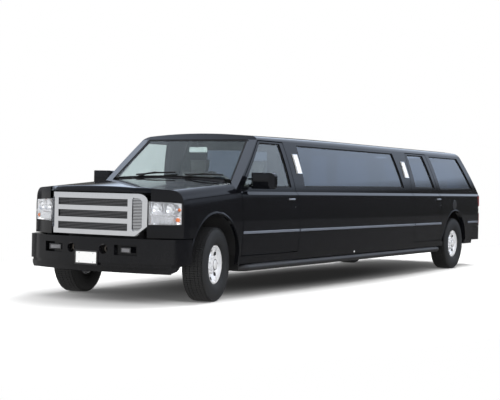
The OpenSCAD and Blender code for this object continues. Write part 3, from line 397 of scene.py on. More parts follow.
def smoothSkin(mesh):
    # the true normals of the section on every face that lies in it
    normals = [Vector(n.vector) for n in mesh.corner_normals]
    for polygon in mesh.polygons:
        if abs(skinNormal(polygon.center, polygon.center.z).dot(polygon.normal)) > section["near"]:
            for loop in polygon.loop_indices:
                spot = mesh.vertices[mesh.loops[loop].vertex_index].co
                aim = skinNormal(spot, polygon.center.z)
                normals[loop] = aim if aim.dot(polygon.normal) > 0 else -aim
    mesh.normals_split_custom_set(normals)


def addPiece(name, bm, body, materials, replaced=(), sharp=shading["sharp"]):
    mesh = bpy.data.meshes.new(name)
    bm.to_mesh(mesh)
    bm.free()
    for material in materials:
        mesh.materials.append(material)
    mesh.polygons.foreach_set("use_smooth", [True] * len(mesh.polygons))
    mesh.set_sharp_from_angle(angle=math.radians(sharp))
    piece = bpy.data.objects.new(name, mesh)
    scene.collection.objects.link(piece)
    if name.startswith(("side_", "door_")) and name.endswith("_skin"):
        smoothSkin(mesh)
    else:
        shade = piece.modifiers.new("evenShade", "WEIGHTED_NORMAL")
        shade.keep_sharp, shade.weight = True, shading["weight"]
    if replaced:
        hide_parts(*replaced)
    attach(piece, body)


def mirrored(bm):
    copy = bm.copy()
    bmesh.ops.scale(copy, vec=(1, -1, 1), verts=copy.verts)
    bmesh.ops.reverse_faces(copy, faces=copy.faces)
    return copy


def addPair(name, bm, body, materials):
    # the left piece and its mirror image
    copy = mirrored(bm)
    for hand, mesh in (("left", bm), ("right", copy)):
        addPiece(name + "_" + hand, mesh, body.format(hand), materials)


def mergedCopy(node):
    bm = bmesh.new()
    bm.from_mesh(nodes[node].data)
    bmesh.ops.remove_doubles(bm, verts=bm.verts, dist=weld)
    bmesh.ops.dissolve_limit(bm, angle_limit=math.radians(0.05), verts=bm.verts, edges=bm.edges)
    return bm


def cutAcross(bm, axis, places, merge=weld):
    for place in places:
        bmesh.ops.bisect_plane(bm, geom=bm.verts[:] + bm.edges[:] + bm.faces[:], dist=merge,
                               plane_co=axis * place, plane_no=axis)


def cutAlong(bm, step):
    # even cuts across long panels keep their shading smooth
    low, high = (pick(v.co.x for v in bm.verts) for pick in (min, max))
    cutAcross(bm, alongX, [k * step for k in range(math.ceil(low / step), math.ceil(high / step))])


def bevelled(bm, edges, width, segments):
    bmesh.ops.bevel(bm, geom=edges, offset=width, offset_type="OFFSET", affect="EDGES", segments=segments,
                    profile=0.5, material=-1, clamp_overlap=True)


def soften(bm, width, angle=38):
    limit = math.radians(angle)
    bevelled(bm, [e for e in bm.edges if len(e.link_faces) == 2 and e.calc_face_angle(0) > limit], width, 2)


# CAD copies with softened edges: body, slot, finish, edge radius and nodes
dressing = {}
for body, slotName, finish, width, group in (
    ("chassis", "paint", blackPaint, 0.004,
     ("roof", "side_left", "side_right", "fender_left", "fender_right")),
    ("chassis", "trim", trimBlack, 0.003, ("cowl",)),
    ("chassis", "paint", blackPaint, 0.004, ("front_bumper", "rear_bumper")),
    ("chassis", "bright", brightPlate, 0.002, ("grille",)),
    ("chassis", "trim", trimBlack, 0, ("radiator",)),
    ("hood", "paint", blackPaint, 0.004, ("hood",)),
    ("liftgate", "paint", blackPaint, 0.004, ("liftgate",)),
    ("chassis", "trim", trimBlack, 0.002, ("running_boards",)),
    ("chassis", "white_lamp", lampWhite, 0.003, ("opera_lamps",)),
    ("chassis", "red_lamp", lampRed, 0.003, ("taillamps",)),
    ("chassis", "chassis_iron", chassisIron, 0.003, ("frame",)),
    ("chassis", "chassis_iron", chassisIron, 0,
     ("front_axle", "rear_axle", "leaf_springs", "floor_pan", "engine_block", "driveshaft")),
    ("chassis", "chassis_iron", sootSteel, 0, ("exhaust",)),
    ("chassis", "chassis_iron", tankGrey, 0.004, ("fuel_tank",)),
    ("chassis", "trim", cabinTrim, 0.006, ("dashboard",)),
    ("chassis", "trim", cabinTrim, 0, ("steering_wheel",)),
    ("chassis", "trim", cabinTrim, 0.004, ("partition", "bar_cabinet")),
    ("knuckle_left", "chassis_iron", chassisIron, 0.002, ("knuckle_left",)),
    ("knuckle_right", "chassis_iron", chassisIron, 0.002, ("knuckle_right",)),
):
    dressing.update({node: (body, slotName, finish, width) for node in group})
corners = ("front_left", "front_right", "rear_left", "rear_right")
for corner in corners:
    dressing["door_" + corner] = (corner + "_door", "paint", blackPaint, 0.004)
    dressing["wheel_" + corner] = (corner + "_wheel", "alloy", wheelAlloy, 0.002)
for hand in ("left", "right"):
    dressing["mirror_" + hand] = ("front_" + hand + "_door", "paint", blackPaint, 0.004)


camber = {"from": 0.20, "to": 2.55, "cuts": 14, "foot": 1.801, "share": 0.30, "power": 1.5, "merge": 0.00001}


def lowerHeader(bm):
    # the roof falls a little towards the windshield
    start, cuts = camber["from"], camber["cuts"]
    span = camber["to"] - start
    cutAcross(bm, alongX, [start + span * k / (cuts - 1) for k in range(cuts)], camber["merge"])
    for vert in bm.verts:
        if vert.co.x > start and vert.co.z > camber["foot"]:
            share = camber["share"] * min(1, (vert.co.x - start) / span) ** camber["power"]
            vert.co.z -= (vert.co.z - camber["foot"]) * share


# edges between the top and the front of the nose; least normals and angle
noseRound = {"nodes": ("hood", "fender_left", "fender_right"), "from": 4.10, "above": 1.05, "radius": 0.055,
             "steps": 7, "up": 0.8, "ahead": 0.6, "angle": 0.9}


def roundNose(bm):
    bm.normal_update()
    edges = []
    for edge in bm.edges:
        ends = [v.co for v in edge.verts]
        inPlace = min(p.x for p in ends) > noseRound["from"] and min(p.z for p in ends) > noseRound["above"]
        if inPlace and len(edge.link_faces) == 2:
            first, second = (f.normal for f in edge.link_faces)
            facing = max(first.z, second.z) > noseRound["up"] and max(first.x, second.x) > noseRound["ahead"]
            if facing and first.angle(second) > noseRound["angle"]:
                edges.append(edge)
    bevelled(bm, edges, noseRound["radius"], noseRound["steps"])


tailRows = {"first": 0.704, "step": 0.0576, "count": 8, "white": (3, 4), "inset": 0.004, "sunk": 0.003}


def ribTaillamps(bm):
    # rows of ribs with a white band for reversing
    first, step = tailRows["first"], tailRows["step"]
    cutAcross(bm, alongZ, [first + k * step for k in range(1, tailRows["count"])])
    for face in bm.faces:
        if int((face.calc_center_median().z - first) / step) in tailRows["white"]:
            face.material_index = 1
    bm.normal_update()
    outer = [f for f in bm.faces if f.normal.x < -0.2 or f.normal.y * f.calc_center_median().y > 0.3]
    bmesh.ops.inset_individual(bm, faces=outer, thickness=tailRows["inset"], depth=-tailRows["sunk"])


def dressNodes():
    for node, (body, slotName, finish, width) in dressing.items():
        bm = mergedCopy(node)
        finishes = [finish]
        if finish is blackPaint:
            cutAlong(bm, shading["cut"])
        if node == "roof":
            lowerHeader(bm)
        if node in noseRound["nodes"]:
            roundNose(bm)
        if width:
            soften(bm, width)
        if node == "taillamps":
            ribTaillamps(bm)
            finishes.append(lampWhite)
        sharp = shading["gateSharp" if node == "liftgate" else "sharp"]
        addPiece(node + "_skin", bm, body, finishes, (node,), sharp)


dressNodes()
print("panels dressed:", len(dressing))


# glass keeps its CAD shape: body, finish and width of the gasket
panes = {
    "side_glass": ("chassis", privacyGlass, 0.016), "liftgate_glass": ("liftgate", privacyGlass, 0.016),
    "windshield": ("chassis", cabGlass, 0.026),
}
for corner in corners:
    glass = cabGlass if corner.startswith("front") else privacyGlass
    panes["glass_" + corner] = (corner + "_door", glass, 0.016)
for node, (_, finish, _) in panes.items():
    mesh = nodes[node].data
    mesh.materials.clear()
    mesh.materials.append(finish)


# padded seats: remeshed, blown up by cloth pressure and held to the CAD box
padding = {
    "front_seats": {"voxel": 0.014, "most": 0.024, "start": 0.014},
    "side_bench": {"voxel": 0.024, "most": 0.028, "start": 0.018},
    "rear_bench": {"voxel": 0.018, "most": 0.026, "start": 0.016},
}
stuffing = {"pressure": 4, "frames": 20, "margin": 0.001, "fill": 0.6}


def bakedMesh(piece):
    whole = bpy.context.evaluated_depsgraph_get()
    mesh = bpy.data.meshes.new_from_object(piece.evaluated_get(whole))
    old = piece.data
    piece.modifiers.clear()
    piece.data = mesh
    bpy.data.meshes.remove(old)


def buildPads():
    margin, frames = stuffing["margin"], stuffing["frames"]
    for node, sizes in padding.items():
        low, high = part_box(node)
        mesh = bpy.data.meshes.new(node + "_pads")
        bm = mergedCopy(node)
        bm.to_mesh(mesh)
        bm.free()
        piece = bpy.data.objects.new(node + "_pads", mesh)
        scene.collection.objects.link(piece)
        remesh = piece.modifiers.new("even", "REMESH")
        remesh.mode, remesh.voxel_size = "VOXEL", sizes["voxel"]
        bakedMesh(piece)
        for vert in piece.data.vertices:
            vert.co -= vert.normal * sizes["start"]
        before = [v.co.copy() for v in piece.data.vertices]
        cloth = piece.modifiers.new("stuffing", "CLOTH")
        cloth.settings.use_pressure, cloth.settings.uniform_pressure_force = True, stuffing["pressure"]
        cloth.settings.effector_weights.gravity = 0
        cloth.collision_settings.use_collision = False
        cloth.point_cache.frame_start, cloth.point_cache.frame_end = 1, frames
        for step in range(1, frames + 1):
            scene.frame_set(step)
        bakedMesh(piece)
        scene.frame_set(1)
        for vert, old in zip(piece.data.vertices, before):
            shift = vert.co - old
            if shift.length > sizes["most"]:
                shift *= sizes["most"] / shift.length
            spot = old + shift
            vert.co = [min(max(v, a + margin), b - margin) for v, a, b in zip(spot, low, high)]
        piece.data.materials.clear()
        piece.data.materials.append(cabinHide)
        piece.data.polygons.foreach_set("use_smooth", [True] * len(piece.data.polygons))
        finer = piece.modifiers.new("finer", "SUBSURF")
        finer.levels = finer.render_levels = 1
        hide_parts(node)
        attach(piece, "chassis")


buildPads()
print("seats padded")


# helpers for new pieces
axle = {"front": 3.694, "rear": -3.344, "steer": 11}      # front wheels turned as they stand
fullTurn = 2 * math.pi


def xFront(d):
    return axle["front"] + d      # metres ahead of the front axle


def xRear(d):
    return axle["rear"] + d       # metres ahead of the rear axle


def wheelTurn(corner):
    return math.radians(axle["steer"]) if corner.startswith("front") else 0


def sideOf(corner):
    return 1 if corner.endswith("left") else -1


def boxMiddle(node):
    low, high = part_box(node)
    return (low + high) / 2


def roundedBlock(low, high, radius, segments=3):
    bm = bmesh.new()
    bmesh.ops.create_cube(bm, size=1)
    low, high = Vector(low), Vector(high)
    bmesh.ops.scale(bm, vec=high - low, verts=bm.verts)
    bevelled(bm, list(bm.edges), radius, segments)
    bmesh.ops.translate(bm, vec=(low + high) / 2, verts=bm.verts)
    return bm


def rod(points, radius, ring=3):
    # round bar along a line of points
    data = bpy.data.curves.new("path", "CURVE")
    data.dimensions = "3D"
    spline = data.splines.new("POLY")
    spline.points.add(len(points) - 1)
    for knot, point in zip(spline.points, points):
        knot.co = (*point, 1)
    data.bevel_depth, data.bevel_resolution, data.use_fill_caps = radius, ring, True
    holder = bpy.data.objects.new("path", data)
    mesh = bpy.data.meshes.new_from_object(holder)
    bm = bmesh.new()
    bm.from_mesh(mesh)
    bpy.data.objects.remove(holder)
    bpy.data.curves.remove(data)
    bpy.data.meshes.remove(mesh)
    bmesh.ops.remove_doubles(bm, verts=bm.verts, dist=0.00005)
    return bm


def joined(*parts):
    # one bmesh from several, each with its material index
    whole = bmesh.new()
    for part, index in parts:
        for face in part.faces:
            face.material_index = index
        mesh = bpy.data.meshes.new("part")
        part.to_mesh(mesh)
        part.free()
        whole.from_mesh(mesh)
        bpy.data.meshes.remove(mesh)
    return whole


def spun(points, steps, axis, angle=fullTurn, centre=(0, 0, 0)):
    # a line of points turned about an axis, closed after a full turn
    bm = bmesh.new()
    verts = [bm.verts.new(point) for point in points]
    edges = [bm.edges.new(pair) for pair in zip(verts, verts[1:])]
    closed = angle == fullTurn
    bmesh.ops.spin(bm, geom=verts + edges, cent=centre, axis=axis, angle=angle, steps=steps,
                   use_merge=closed, use_duplicate=False)
    if closed:
        bmesh.ops.remove_doubles(bm, verts=bm.verts, dist=0.00005)
    bmesh.ops.recalc_face_normals(bm, faces=bm.faces)
    return bm


def turnedDish(profile, steps, place=(0, 0, 0), axis="X"):
    # profile of (radius, depth) pairs spun about an axis that points forward or to the left
    bm = spun([(depth, radius, 0) for radius, depth in profile], steps, alongX)
    if axis == "Y":
        quarter = Matrix.Rotation(math.radians(90), 3, "Z")
        bmesh.ops.rotate(bm, cent=(0, 0, 0), matrix=quarter, verts=bm.verts)
    bmesh.ops.translate(bm, vec=place, verts=bm.verts)
    return bm


def sunkFace(bm, rim, slope, depth):
    # a flat rim round the front face, and the face sunk inside it
    front = max(bm.faces, key=lambda f: f.calc_center_median().x)
    bmesh.ops.inset_region(bm, faces=[front], thickness=rim, depth=0)
    bmesh.ops.inset_region(bm, faces=[front], thickness=slope, depth=-depth)
    return front


# tyres
tyre = {
    "steps": 96,          # blocks round the tread
    "blockLift": 0.009, "blockGap": 0.0035, "treadFrom": 0.384,
    # half section: (distance from the middle plane, radius), bead to tread centre
    "section": ((0.098, 0.207), (0.112, 0.218), (0.126, 0.245), (0.1315, 0.285), (0.1305, 0.325),
                (0.124, 0.358), (0.114, 0.380), (0.104, 0.3905), (0.066, 0.3925), (0.026, 0.393)),
}


def buildTyre(corner):
    node = "tyre_" + corner
    half = tyre["section"]
    points = [(0, y, r) for y, r in half] + [(0, -y, r) for y, r in reversed(half)]
    bm = spun(points, tyre["steps"], (0, 1, 0))
    middles = ((f, f.calc_center_median()) for f in bm.faces)
    tread = [f for f, spot in middles if math.hypot(spot.x, spot.z) > tyre["treadFrom"]]
    bmesh.ops.inset_individual(bm, faces=tread, thickness=tyre["blockGap"], depth=tyre["blockLift"])
    stand = Matrix.Translation(boxMiddle(node)) @ Matrix.Rotation(wheelTurn(corner), 4, "Z")
    bmesh.ops.transform(bm, matrix=stand, verts=bm.verts)
    addPiece(node + "_tread", bm, corner + "_wheel", [tyreRubber], (node,))


for corner in corners:
    buildTyre(corner)
print("tyres built")


# wheels: painted shade, a dark finish behind the disc and in its holes
wheelShade = {"disc": 0.030, "barrel": 0.189, "holes": (0.128, 0.184), "flat": 0.5}


def paintWheelShade():
    near, far = wheelShade["holes"]
    for corner in corners:
        mesh = bpy.data.objects["wheel_" + corner + "_skin"].data
        # the iron finish on these faces is painted shade in the wheel's recesses
        mesh.materials.append(chassisIron)
        middle = boxMiddle("wheel_" + corner)
        turn = Matrix.Rotation(-wheelTurn(corner), 3, "Z")
        for polygon in mesh.polygons:
            spot = turn @ (polygon.center - middle)
            flat = abs((turn @ polygon.normal).y) > wheelShade["flat"]
            depth, radius = spot.y * sideOf(corner), math.hypot(spot.x, spot.z)
            inHole = not flat and near < radius < far and depth > 0
            if inHole or (depth < wheelShade["disc"] and radius < wheelShade["barrel"]):
                polygon.material_index = 1


paintWheelShade()


# grille: slats, and the bowed face with its swept ends that they lie behind
slats = {"first": 0.770, "pitch": 0.0152, "height": 0.007, "count": 24, "depth": 0.0125, "slack": 0.02}
grilleFace = {"front": xFront(0.884), "bow": 16, "endsFrom": 0.510, "sweep": 0.908, "slack": 0.001}


def greySlats():
    mesh = bpy.data.objects["grille_skin"].data
    mesh.materials.append(billetGrey)
    slack, tall = slats["slack"], slats["height"] / slats["pitch"]
    for polygon in mesh.polygons:
        x, y, z = polygon.center
        swept = max(0, abs(y) - grilleFace["endsFrom"]) * grilleFace["sweep"]
        face = grilleFace["front"] - y ** 2 / grilleFace["bow"] - swept
        step = (z - slats["first"]) / slats["pitch"]
        onSlat = -slack < step - math.floor(step + slack) < tall + slack
        behind = face - x > slats["depth"] - grilleFace["slack"]
        if behind and onSlat and -0.5 < step < slats["count"]:
            polygon.material_index = 1


greySlats()


# headlamps: a thin clear lens over a bright housing with bowls and an amber row
headlamp = {
    "front": 0.868, "bow": 4.2, "lens": 0.0025, "shell": 0.0015, "sideFrom": 0.9,
    # (y, z, radius) of the bowls and the amber lamps
    "bowls": ((0.735, 1.003, 0.052), (0.868, 0.998, 0.050)),
    "amber": ((0.930, 0.890, 0.024), (0.945, 0.995, 0.018)), "amberBack": 0.022,
    "bowlDepth": 0.030, "bowlSteps": 8, "bowlRim": 0.006, "setBack": 0.012, "bulbBack": 0.016,
    "bulb": ((0.0005, 0.0), (0.006, -0.002), (0.009, -0.010), (0.009, -0.026)),
    "ribFrom": 0.672, "ribTo": 0.900, "ribStep": 0.013, "ribHalf": 0.0045, "ribHeight": (0.852, 0.928),
    "ribBack": (0.030, 0.016),
    "barFrom": 0.662, "barStep": 0.052, "barLong": 0.053, "bars": 6, "barHeight": (0.934, 0.948),
    "barBack": (0.030, 0.008),
}


def lampFace(y, back):
    return xFront(headlamp["front"] - y * y / headlamp["bow"] - back)


def lampBlock(y, back, across, height, radius):
    # a block behind the lens, with its depth taken at y
    low, high = zip([lampFace(y, b) for b in back], sorted(across), height)
    return roundedBlock(low, high, radius, 2)


def lampInside(side):
    parts = []
    rim, depth, steps = headlamp["bowlRim"], headlamp["bowlDepth"], headlamp["bowlSteps"]
    for y, z, r in headlamp["bowls"]:
        profile = [(r * k / steps, -depth + depth * (k / steps) ** 2) for k in range(1, steps + 1)]
        profile += [(r + rim, 0.0), (r + rim, -rim)]
        parts.append((turnedDish(profile, 32, (lampFace(y, headlamp["setBack"]), side * y, z)), 0))
        parts.append((turnedDish(headlamp["bulb"], 16, (lampFace(y, headlamp["bulbBack"]), side * y, z)), 1))
    y, half = headlamp["ribFrom"], headlamp["ribHalf"]
    while y < headlamp["ribTo"]:
        across = (side * y - half, side * y + half)
        parts.append((lampBlock(y, headlamp["ribBack"], across, headlamp["ribHeight"], 0.003), 0))
        y += headlamp["ribStep"]
    for k in range(headlamp["bars"]):
        y = headlamp["barFrom"] + k * headlamp["barStep"]
        across = (side * y, side * (y + headlamp["barLong"]))
        middle = y + headlamp["barStep"] / 2
        parts.append((lampBlock(middle, headlamp["barBack"], across, headlamp["barHeight"], 0.002), 0))
    for y, z, r in headlamp["amber"]:
        profile = ((0.0005, 0.010), (r * 0.5, 0.008), (r * 0.85, 0.003), (r, -0.004), (r, -0.012))
        parts.append((turnedDish(profile, 24, (lampFace(y, headlamp["amberBack"]), side * y, z)), 2))
    return parts


def buildHeadlamps():
    lens = mergedCopy("headlamps")
    lens.normal_update()
    kept = set()
    for face in lens.faces:
        y = face.calc_center_median().y
        atSide = face.normal.y * math.copysign(1, y) > 0.5 and abs(y) > headlamp["sideFrom"]
        if face.normal.x > 0.3 or atSide:
            kept.add(face.index)
    shell = lens.copy()
    shell.faces.ensure_lookup_table()
    bmesh.ops.delete(lens, geom=[f for f in lens.faces if f.index not in kept], context="FACES")
    bmesh.ops.delete(shell, geom=[f for f in shell.faces if f.index in kept], context="FACES")
    bmesh.ops.solidify(lens, geom=lens.faces, thickness=headlamp["lens"])
    bmesh.ops.solidify(shell, geom=shell.faces, thickness=headlamp["shell"])
    addPiece("headlamp_lens", lens, "chassis", [lampClear], ("headlamps",))
    parts = [(shell, 0)] + lampInside(1) + lampInside(-1)
    addPiece("headlamp_reflectors", joined(*parts), "chassis", [lampSilver, lampWhite, amberLamp])


buildHeadlamps()
print("grille and headlamps done")


# plate: raised rim, four bolts and a dark holder behind
plate = {"frame": 0.017, "rim": 0.0119, "slope": 0.002, "lift": 0.0025, "panelBack": 0.004,
         "panelFront": 0.0008, "bolt": 0.006, "boltIn": (0.06, 0.030)}


def buildPlate():
    low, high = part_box("front_plate")
    holder = roundedBlock(low, high, 0.0015, 2)
    sunkFace(holder, plate["rim"], plate["slope"], plate["lift"])
    edge, r = plate["frame"], plate["bolt"]
    panel = roundedBlock((high.x - plate["panelBack"], low.y + edge, low.z + edge),
                         (high.x - plate["panelFront"], high.y - edge, high.z - edge), 0.0012, 2)
    parts = [(holder, 1), (panel, 0)]
    inY, inZ = plate["boltIn"]
    profile = ((0.0003, 0.0022), (r * 0.6, 0.002), (r, 0.0008), (r, -0.001))
    for y in (low.y + inY, high.y - inY):
        for z in (low.z + inZ, high.z - inZ):
            parts.append((turnedDish(profile, 12, (high.x - 0.001, y, z)), 2))
    addPiece("front_plate_panel", joined(*parts), "chassis", [plateWhite, trimBlack, brightPlate],
             ("front_plate",))


buildPlate()


# rub strips split at the doors, in a bluish grey that is a painted reflection of the sky: body, back and front
strip = {"low": (1.0105, 0.720), "high": (1.0235, 0.750), "radius": 0.006}
stripRuns = {
    "strip_front": ("front_{}_door", xFront(-1.832), xFront(-0.536)),
    "strip_middle": ("chassis", xRear(1.656), xFront(-1.862)),
    "strip_rear": ("rear_{}_door", xRear(0.606), xRear(1.624)),
    "strip_tail": ("chassis", xRear(-1.03), xRear(-0.56)),
}
for name, (body, back, front) in stripRuns.items():
    bm = roundedBlock((back, *strip["low"]), (front, *strip["high"]), strip["radius"])
    addPair(name, bm, body, [stripPaintedSheen])


# door handles and locks
doorHandle = {
    "front": (xFront(-1.655), 1.105), "rear": (xRear(0.700), 1.105), "length": 0.150, "height": 0.034,
    "wall": 0.9965, "radius": 0.005, "barRadius": 0.0075, "barUp": 0.004,
    "bar": ((0.012, 0.004), (0.024, 0.020)),      # (in from the end, out from the wall)
    "lock": ((0.0004, 0.006), (0.009, 0.006), (0.012, 0.003), (0.020, 0.002), (0.022, -0.004)),
    "lockAt": (-0.015, 0.0055, -0.091),
}


def buildHandles():
    half, tall, wall = doorHandle["length"] / 2, doorHandle["height"] / 2, doorHandle["wall"]
    for end in ("front", "rear"):
        x, z = doorHandle[end]
        cup = roundedBlock((x - half, wall - 0.004, z - tall), (x + half, wall + 0.006, z + tall),
                           doorHandle["radius"])
        path = [(x - half + inward, wall + out, z + doorHandle["barUp"]) for inward, out in doorHandle["bar"]]
        path += [(x + half - inward, wall + out, z + doorHandle["barUp"])
                 for inward, out in reversed(doorHandle["bar"])]
        bar = rod(path, doorHandle["barRadius"], 4)
        lockPlace = Vector((x - half, wall, z)) + Vector(doorHandle["lockAt"])
        lock = turnedDish(doorHandle["lock"], 20, lockPlace, "Y")
        addPair("handle_" + end, joined((cup, 0), (bar, 1), (lock, 0)), end + "_{}_door",
                [trimBlack, brightPlate])


buildHandles()


# fuel door on the left rear quarter; profile as shares of its radius, with depths
fuelDoor = {"place": (xRear(0.023), 1.0065, 1.011), "radius": 0.085, "edge": (0.088, -0.003),
            "profile": ((0.80, 0.004), (0.88, 0.001), (0.92, 0.001), (0.94, 0.005), (1, 0.004))}


def buildFuelDoor():
    ring = [(fuelDoor["radius"] * share, depth) for share, depth in fuelDoor["profile"]]
    bm = turnedDish([(0.0005, 0.004), *ring, fuelDoor["edge"]], 40, fuelDoor["place"], "Y")
    addPiece("fuel_door", bm, "chassis", [trimBlack])


buildFuelDoor()


# window gaskets and the pillar lamps' bezels: a ring round the outer face
gasket = {"thick": 0.004, "bezel": 0.006, "facing": 0.5}


def outward(node, face):
    if node == "windshield":
        return face.normal.x
    if node == "liftgate_glass":
        return -face.normal.x
    return face.normal.y * math.copysign(1, face.calc_center_median().y)


def buildGasket(node, body, wide, finish):
    bm = mergedCopy(node)
    bm.normal_update()
    hidden = [f for f in bm.faces if outward(node, f) < gasket["facing"]]
    bmesh.ops.delete(bm, geom=hidden, context="FACES")
    ring = set(bmesh.ops.inset_region(bm, faces=bm.faces[:], thickness=wide, depth=0, use_boundary=True,
                                      use_even_offset=True)["faces"])
    bmesh.ops.delete(bm, geom=[f for f in bm.faces if f not in ring], context="FACES")
    bmesh.ops.solidify(bm, geom=bm.faces[:], thickness=-gasket["thick"])
    addPiece(node + "_gasket", bm, body, [finish])


for node, (body, _, wide) in panes.items():
    buildGasket(node, body, wide, rubberBlack)
buildGasket("opera_lamps", "chassis", gasket["bezel"], brightPlate)
print("trim done")


# wheel arches: a rolled lip on the panel, and a liner behind the front ones
arch = {
    "front": (xFront(0.0), 0.480), "rear": (xRear(0.0), 0.450),
    "radius": 0.470, "wall": 1.003, "thick": 0.003,
    # (out from the radius, out from the wall)
    "lip": ((-0.002, -0.030), (-0.004, 0.004), (0.004, 0.012), (0.016, 0.012), (0.030, 0.004)),
    "lipSteps": 40, "liner": (0.985, 0.80, 0.56), "linerOut": 0.010, "linerSteps": 32,
}


def archSweep(points, steps, x, z):
    bm = spun(points, steps, (0, -1, 0), math.pi, (x, 0, z))
    bmesh.ops.solidify(bm, geom=bm.faces[:], thickness=arch["thick"])
    return bm


def buildArches():
    for end in ("front", "rear"):
        x, z = arch[end]
        rim = x + arch["radius"]
        lip = archSweep([(rim + out, arch["wall"] + y, z) for out, y in arch["lip"]], arch["lipSteps"], x, z)
        addPair("arch_lip_" + end, lip, "chassis", [blackPaint])
        if end == "front":
            line = [(rim + arch["linerOut"], y, z) for y in arch["liner"]]
            liner = archSweep(line, arch["linerSteps"], x, z)
            addPair("arch_liner_" + end, liner, "chassis", [trimBlack])


buildArches()


# wipers at the foot of the windshield, which bends about a long radius
wiper = {
    "slope": 41, "foot": (xFront(-0.527), 1.353), "bend": 8.0,
    "reach": ((0.18, 0.70), (-0.52, 0.06)),      # y of the pivot and the tip
    "arm": 0.010, "blade": 0.0095, "bridge": 0.005, "start": 0.03,
    "knob": ((0.0005, 0.018), (0.010, 0.016), (0.014, 0.006), (0.014, -0.012)),
}


def glassPoint(y, up, proud):
    # point on the windshield, up the slope from its foot
    slope = math.radians(wiper["slope"])
    out = math.sqrt(wiper["bend"] ** 2 - y * y) - wiper["bend"] + proud
    x, z = wiper["foot"]
    return Vector((x - up * math.cos(slope) + out * math.sin(slope), y,
                   z + up * math.sin(slope) + out * math.cos(slope)))


def buildWipers():
    parts = []
    for pivotY, tipY in wiper["reach"]:
        startY = pivotY + wiper["start"]
        pivot = glassPoint(pivotY, -0.035, 0.004)
        elbow = glassPoint((pivotY * 2 + tipY) / 3, 0.010, 0.030)
        hold = glassPoint((pivotY + tipY) / 2 + 0.02, 0.040, 0.026)
        start, stop = glassPoint(startY, 0.022, 0.012), glassPoint(tipY, 0.060, 0.012)
        middle = glassPoint((startY + tipY) / 2, 0.042, 0.014)
        bridge = [start + (middle - start) * 0.4, hold, middle + (stop - middle) * 0.6]
        lines = {"arm": [pivot, elbow, hold], "blade": [start, middle, stop], "bridge": bridge}
        parts += [(rod(line, wiper[name]), 0) for name, line in lines.items()]
        parts.append((turnedDish(wiper["knob"], 20, pivot), 0))
    addPiece("wipers", joined(*parts), "chassis", [rubberBlack])


buildWipers()


# inside mirror on the windshield
insideMirror = {"place": (xFront(-1.085), 0.02, 1.675), "half": (0.016, 0.125, 0.034), "radius": 0.014,
                "stem": ((0.006, 0, 0.02), (0.020, 0, 0.075), (0.018, 0, 0.100)), "stemRadius": 0.008}


def buildInsideMirror():
    place, half = Vector(insideMirror["place"]), Vector(insideMirror["half"])
    case = roundedBlock(place - half, place + half, insideMirror["radius"], 4)
    stem = rod([place + Vector(step) for step in insideMirror["stem"]], insideMirror["stemRadius"])
    addPiece("inside_mirror", joined((case, 0), (stem, 1)), "chassis", [lampWhite, trimBlack])


buildInsideMirror()


# mirror faces
mirrorFace = {"inner": 0.995, "in": 0.022, "rim": 0.016, "half": 0.003, "edge": 0.002, "corner": 0.03}


def buildMirrorFaces():
    low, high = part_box("mirror_left")
    half, rim = mirrorFace["half"], mirrorFace["rim"]
    bm = roundedBlock((low.x - half, mirrorFace["inner"], low.z + rim),
                      (low.x + half, high.y - mirrorFace["in"], high.z - rim), mirrorFace["edge"], 2)
    lengthways = [e for e in bm.edges if abs((e.verts[0].co - e.verts[1].co).normalized().x) > 0.9]
    bevelled(bm, lengthways, mirrorFace["corner"], 4)
    addPair("mirror_face", bm, "front_{}_door", [mirrorSilver])


buildMirrorFaces()


# fog lamps in the pockets of the bowed bumper
fog = {"y": 0.470, "z": 0.569, "half": (0.075, 0.032), "bumper": 0.955, "bow": 6, "setBack": 0.024,
       "back": 0.002, "front": 0.010, "radius": 0.006, "rim": 0.006, "slope": 0.004, "sunk": 0.005, "turn": -9}


def buildFogLamps():
    y, z = fog["y"], fog["z"]
    wide, tall = fog["half"]
    face = xFront(fog["bumper"] - y ** 2 / fog["bow"] - fog["setBack"])
    case = roundedBlock((face - fog["back"], y - wide, z - tall), (face + fog["front"], y + wide, z + tall),
                        fog["radius"])
    lens = sunkFace(case, fog["rim"], fog["slope"], fog["sunk"])
    for f in case.faces:
        f.material_index = 0
    lens.material_index = 1
    turn = Matrix.Rotation(math.radians(fog["turn"]), 3, "Z")
    bmesh.ops.rotate(case, cent=(face, y, z), matrix=turn, verts=case.verts)
    addPair("fog_lamp", case, "chassis", [trimBlack, fogLens])


buildFogLamps()
print("lamps, wipers and mirrors done")


# faces on the tow eyes
towEye = {"front": xFront(0.876), "y": 0.215, "z": 0.574, "inner": 0.0215, "outer": 0.0385, "round": 0.004}


def buildTowEyes():
    inner, outer, r = towEye["inner"], towEye["outer"], towEye["round"]
    profile = ((inner, -0.004), (inner, 0.003), (inner + r, 0.006), (outer - r, 0.006), (outer, 0.002),
               (outer, -0.004))
    places = [(towEye["front"], side * towEye["y"], towEye["z"]) for side in (1, -1)]
    parts = [(turnedDish(profile, 32, place), 0) for place in places]
    addPiece("tow_eye_faces", joined(*parts), "chassis", [sootSteel])


buildTowEyes()


# dark strips under the sills, which fill the gap above the running boards as painted shade, and mud flaps
# behind the front wheels: low and high corner, edge radius, finish
blocks = {
    # the sill strips are a dark sheet put where there is only shade
    "sill_guard": ((xRear(0.62), 0.925, 0.364), (xFront(-0.56), 0.935, 0.3845), 0.002, trimBlack),
    "mud_flap": ((xFront(-0.499), 0.700, 0.315), (xFront(-0.487), 0.985, 0.520), 0.004, rubberBlack),
}
for name, (low, high, radius, finish) in blocks.items():
    addPair(name, roundedBlock(low, high, radius, 2), "chassis", [finish])


# small fittings set on the CAD surface
def surfaceAt(node, start, aim):
    bm = mergedCopy(node)
    spot, normal, _, _ = BVHTree.FromBMesh(bm).ray_cast(Vector(start), Vector(aim))
    bm.free()
    return spot, normal


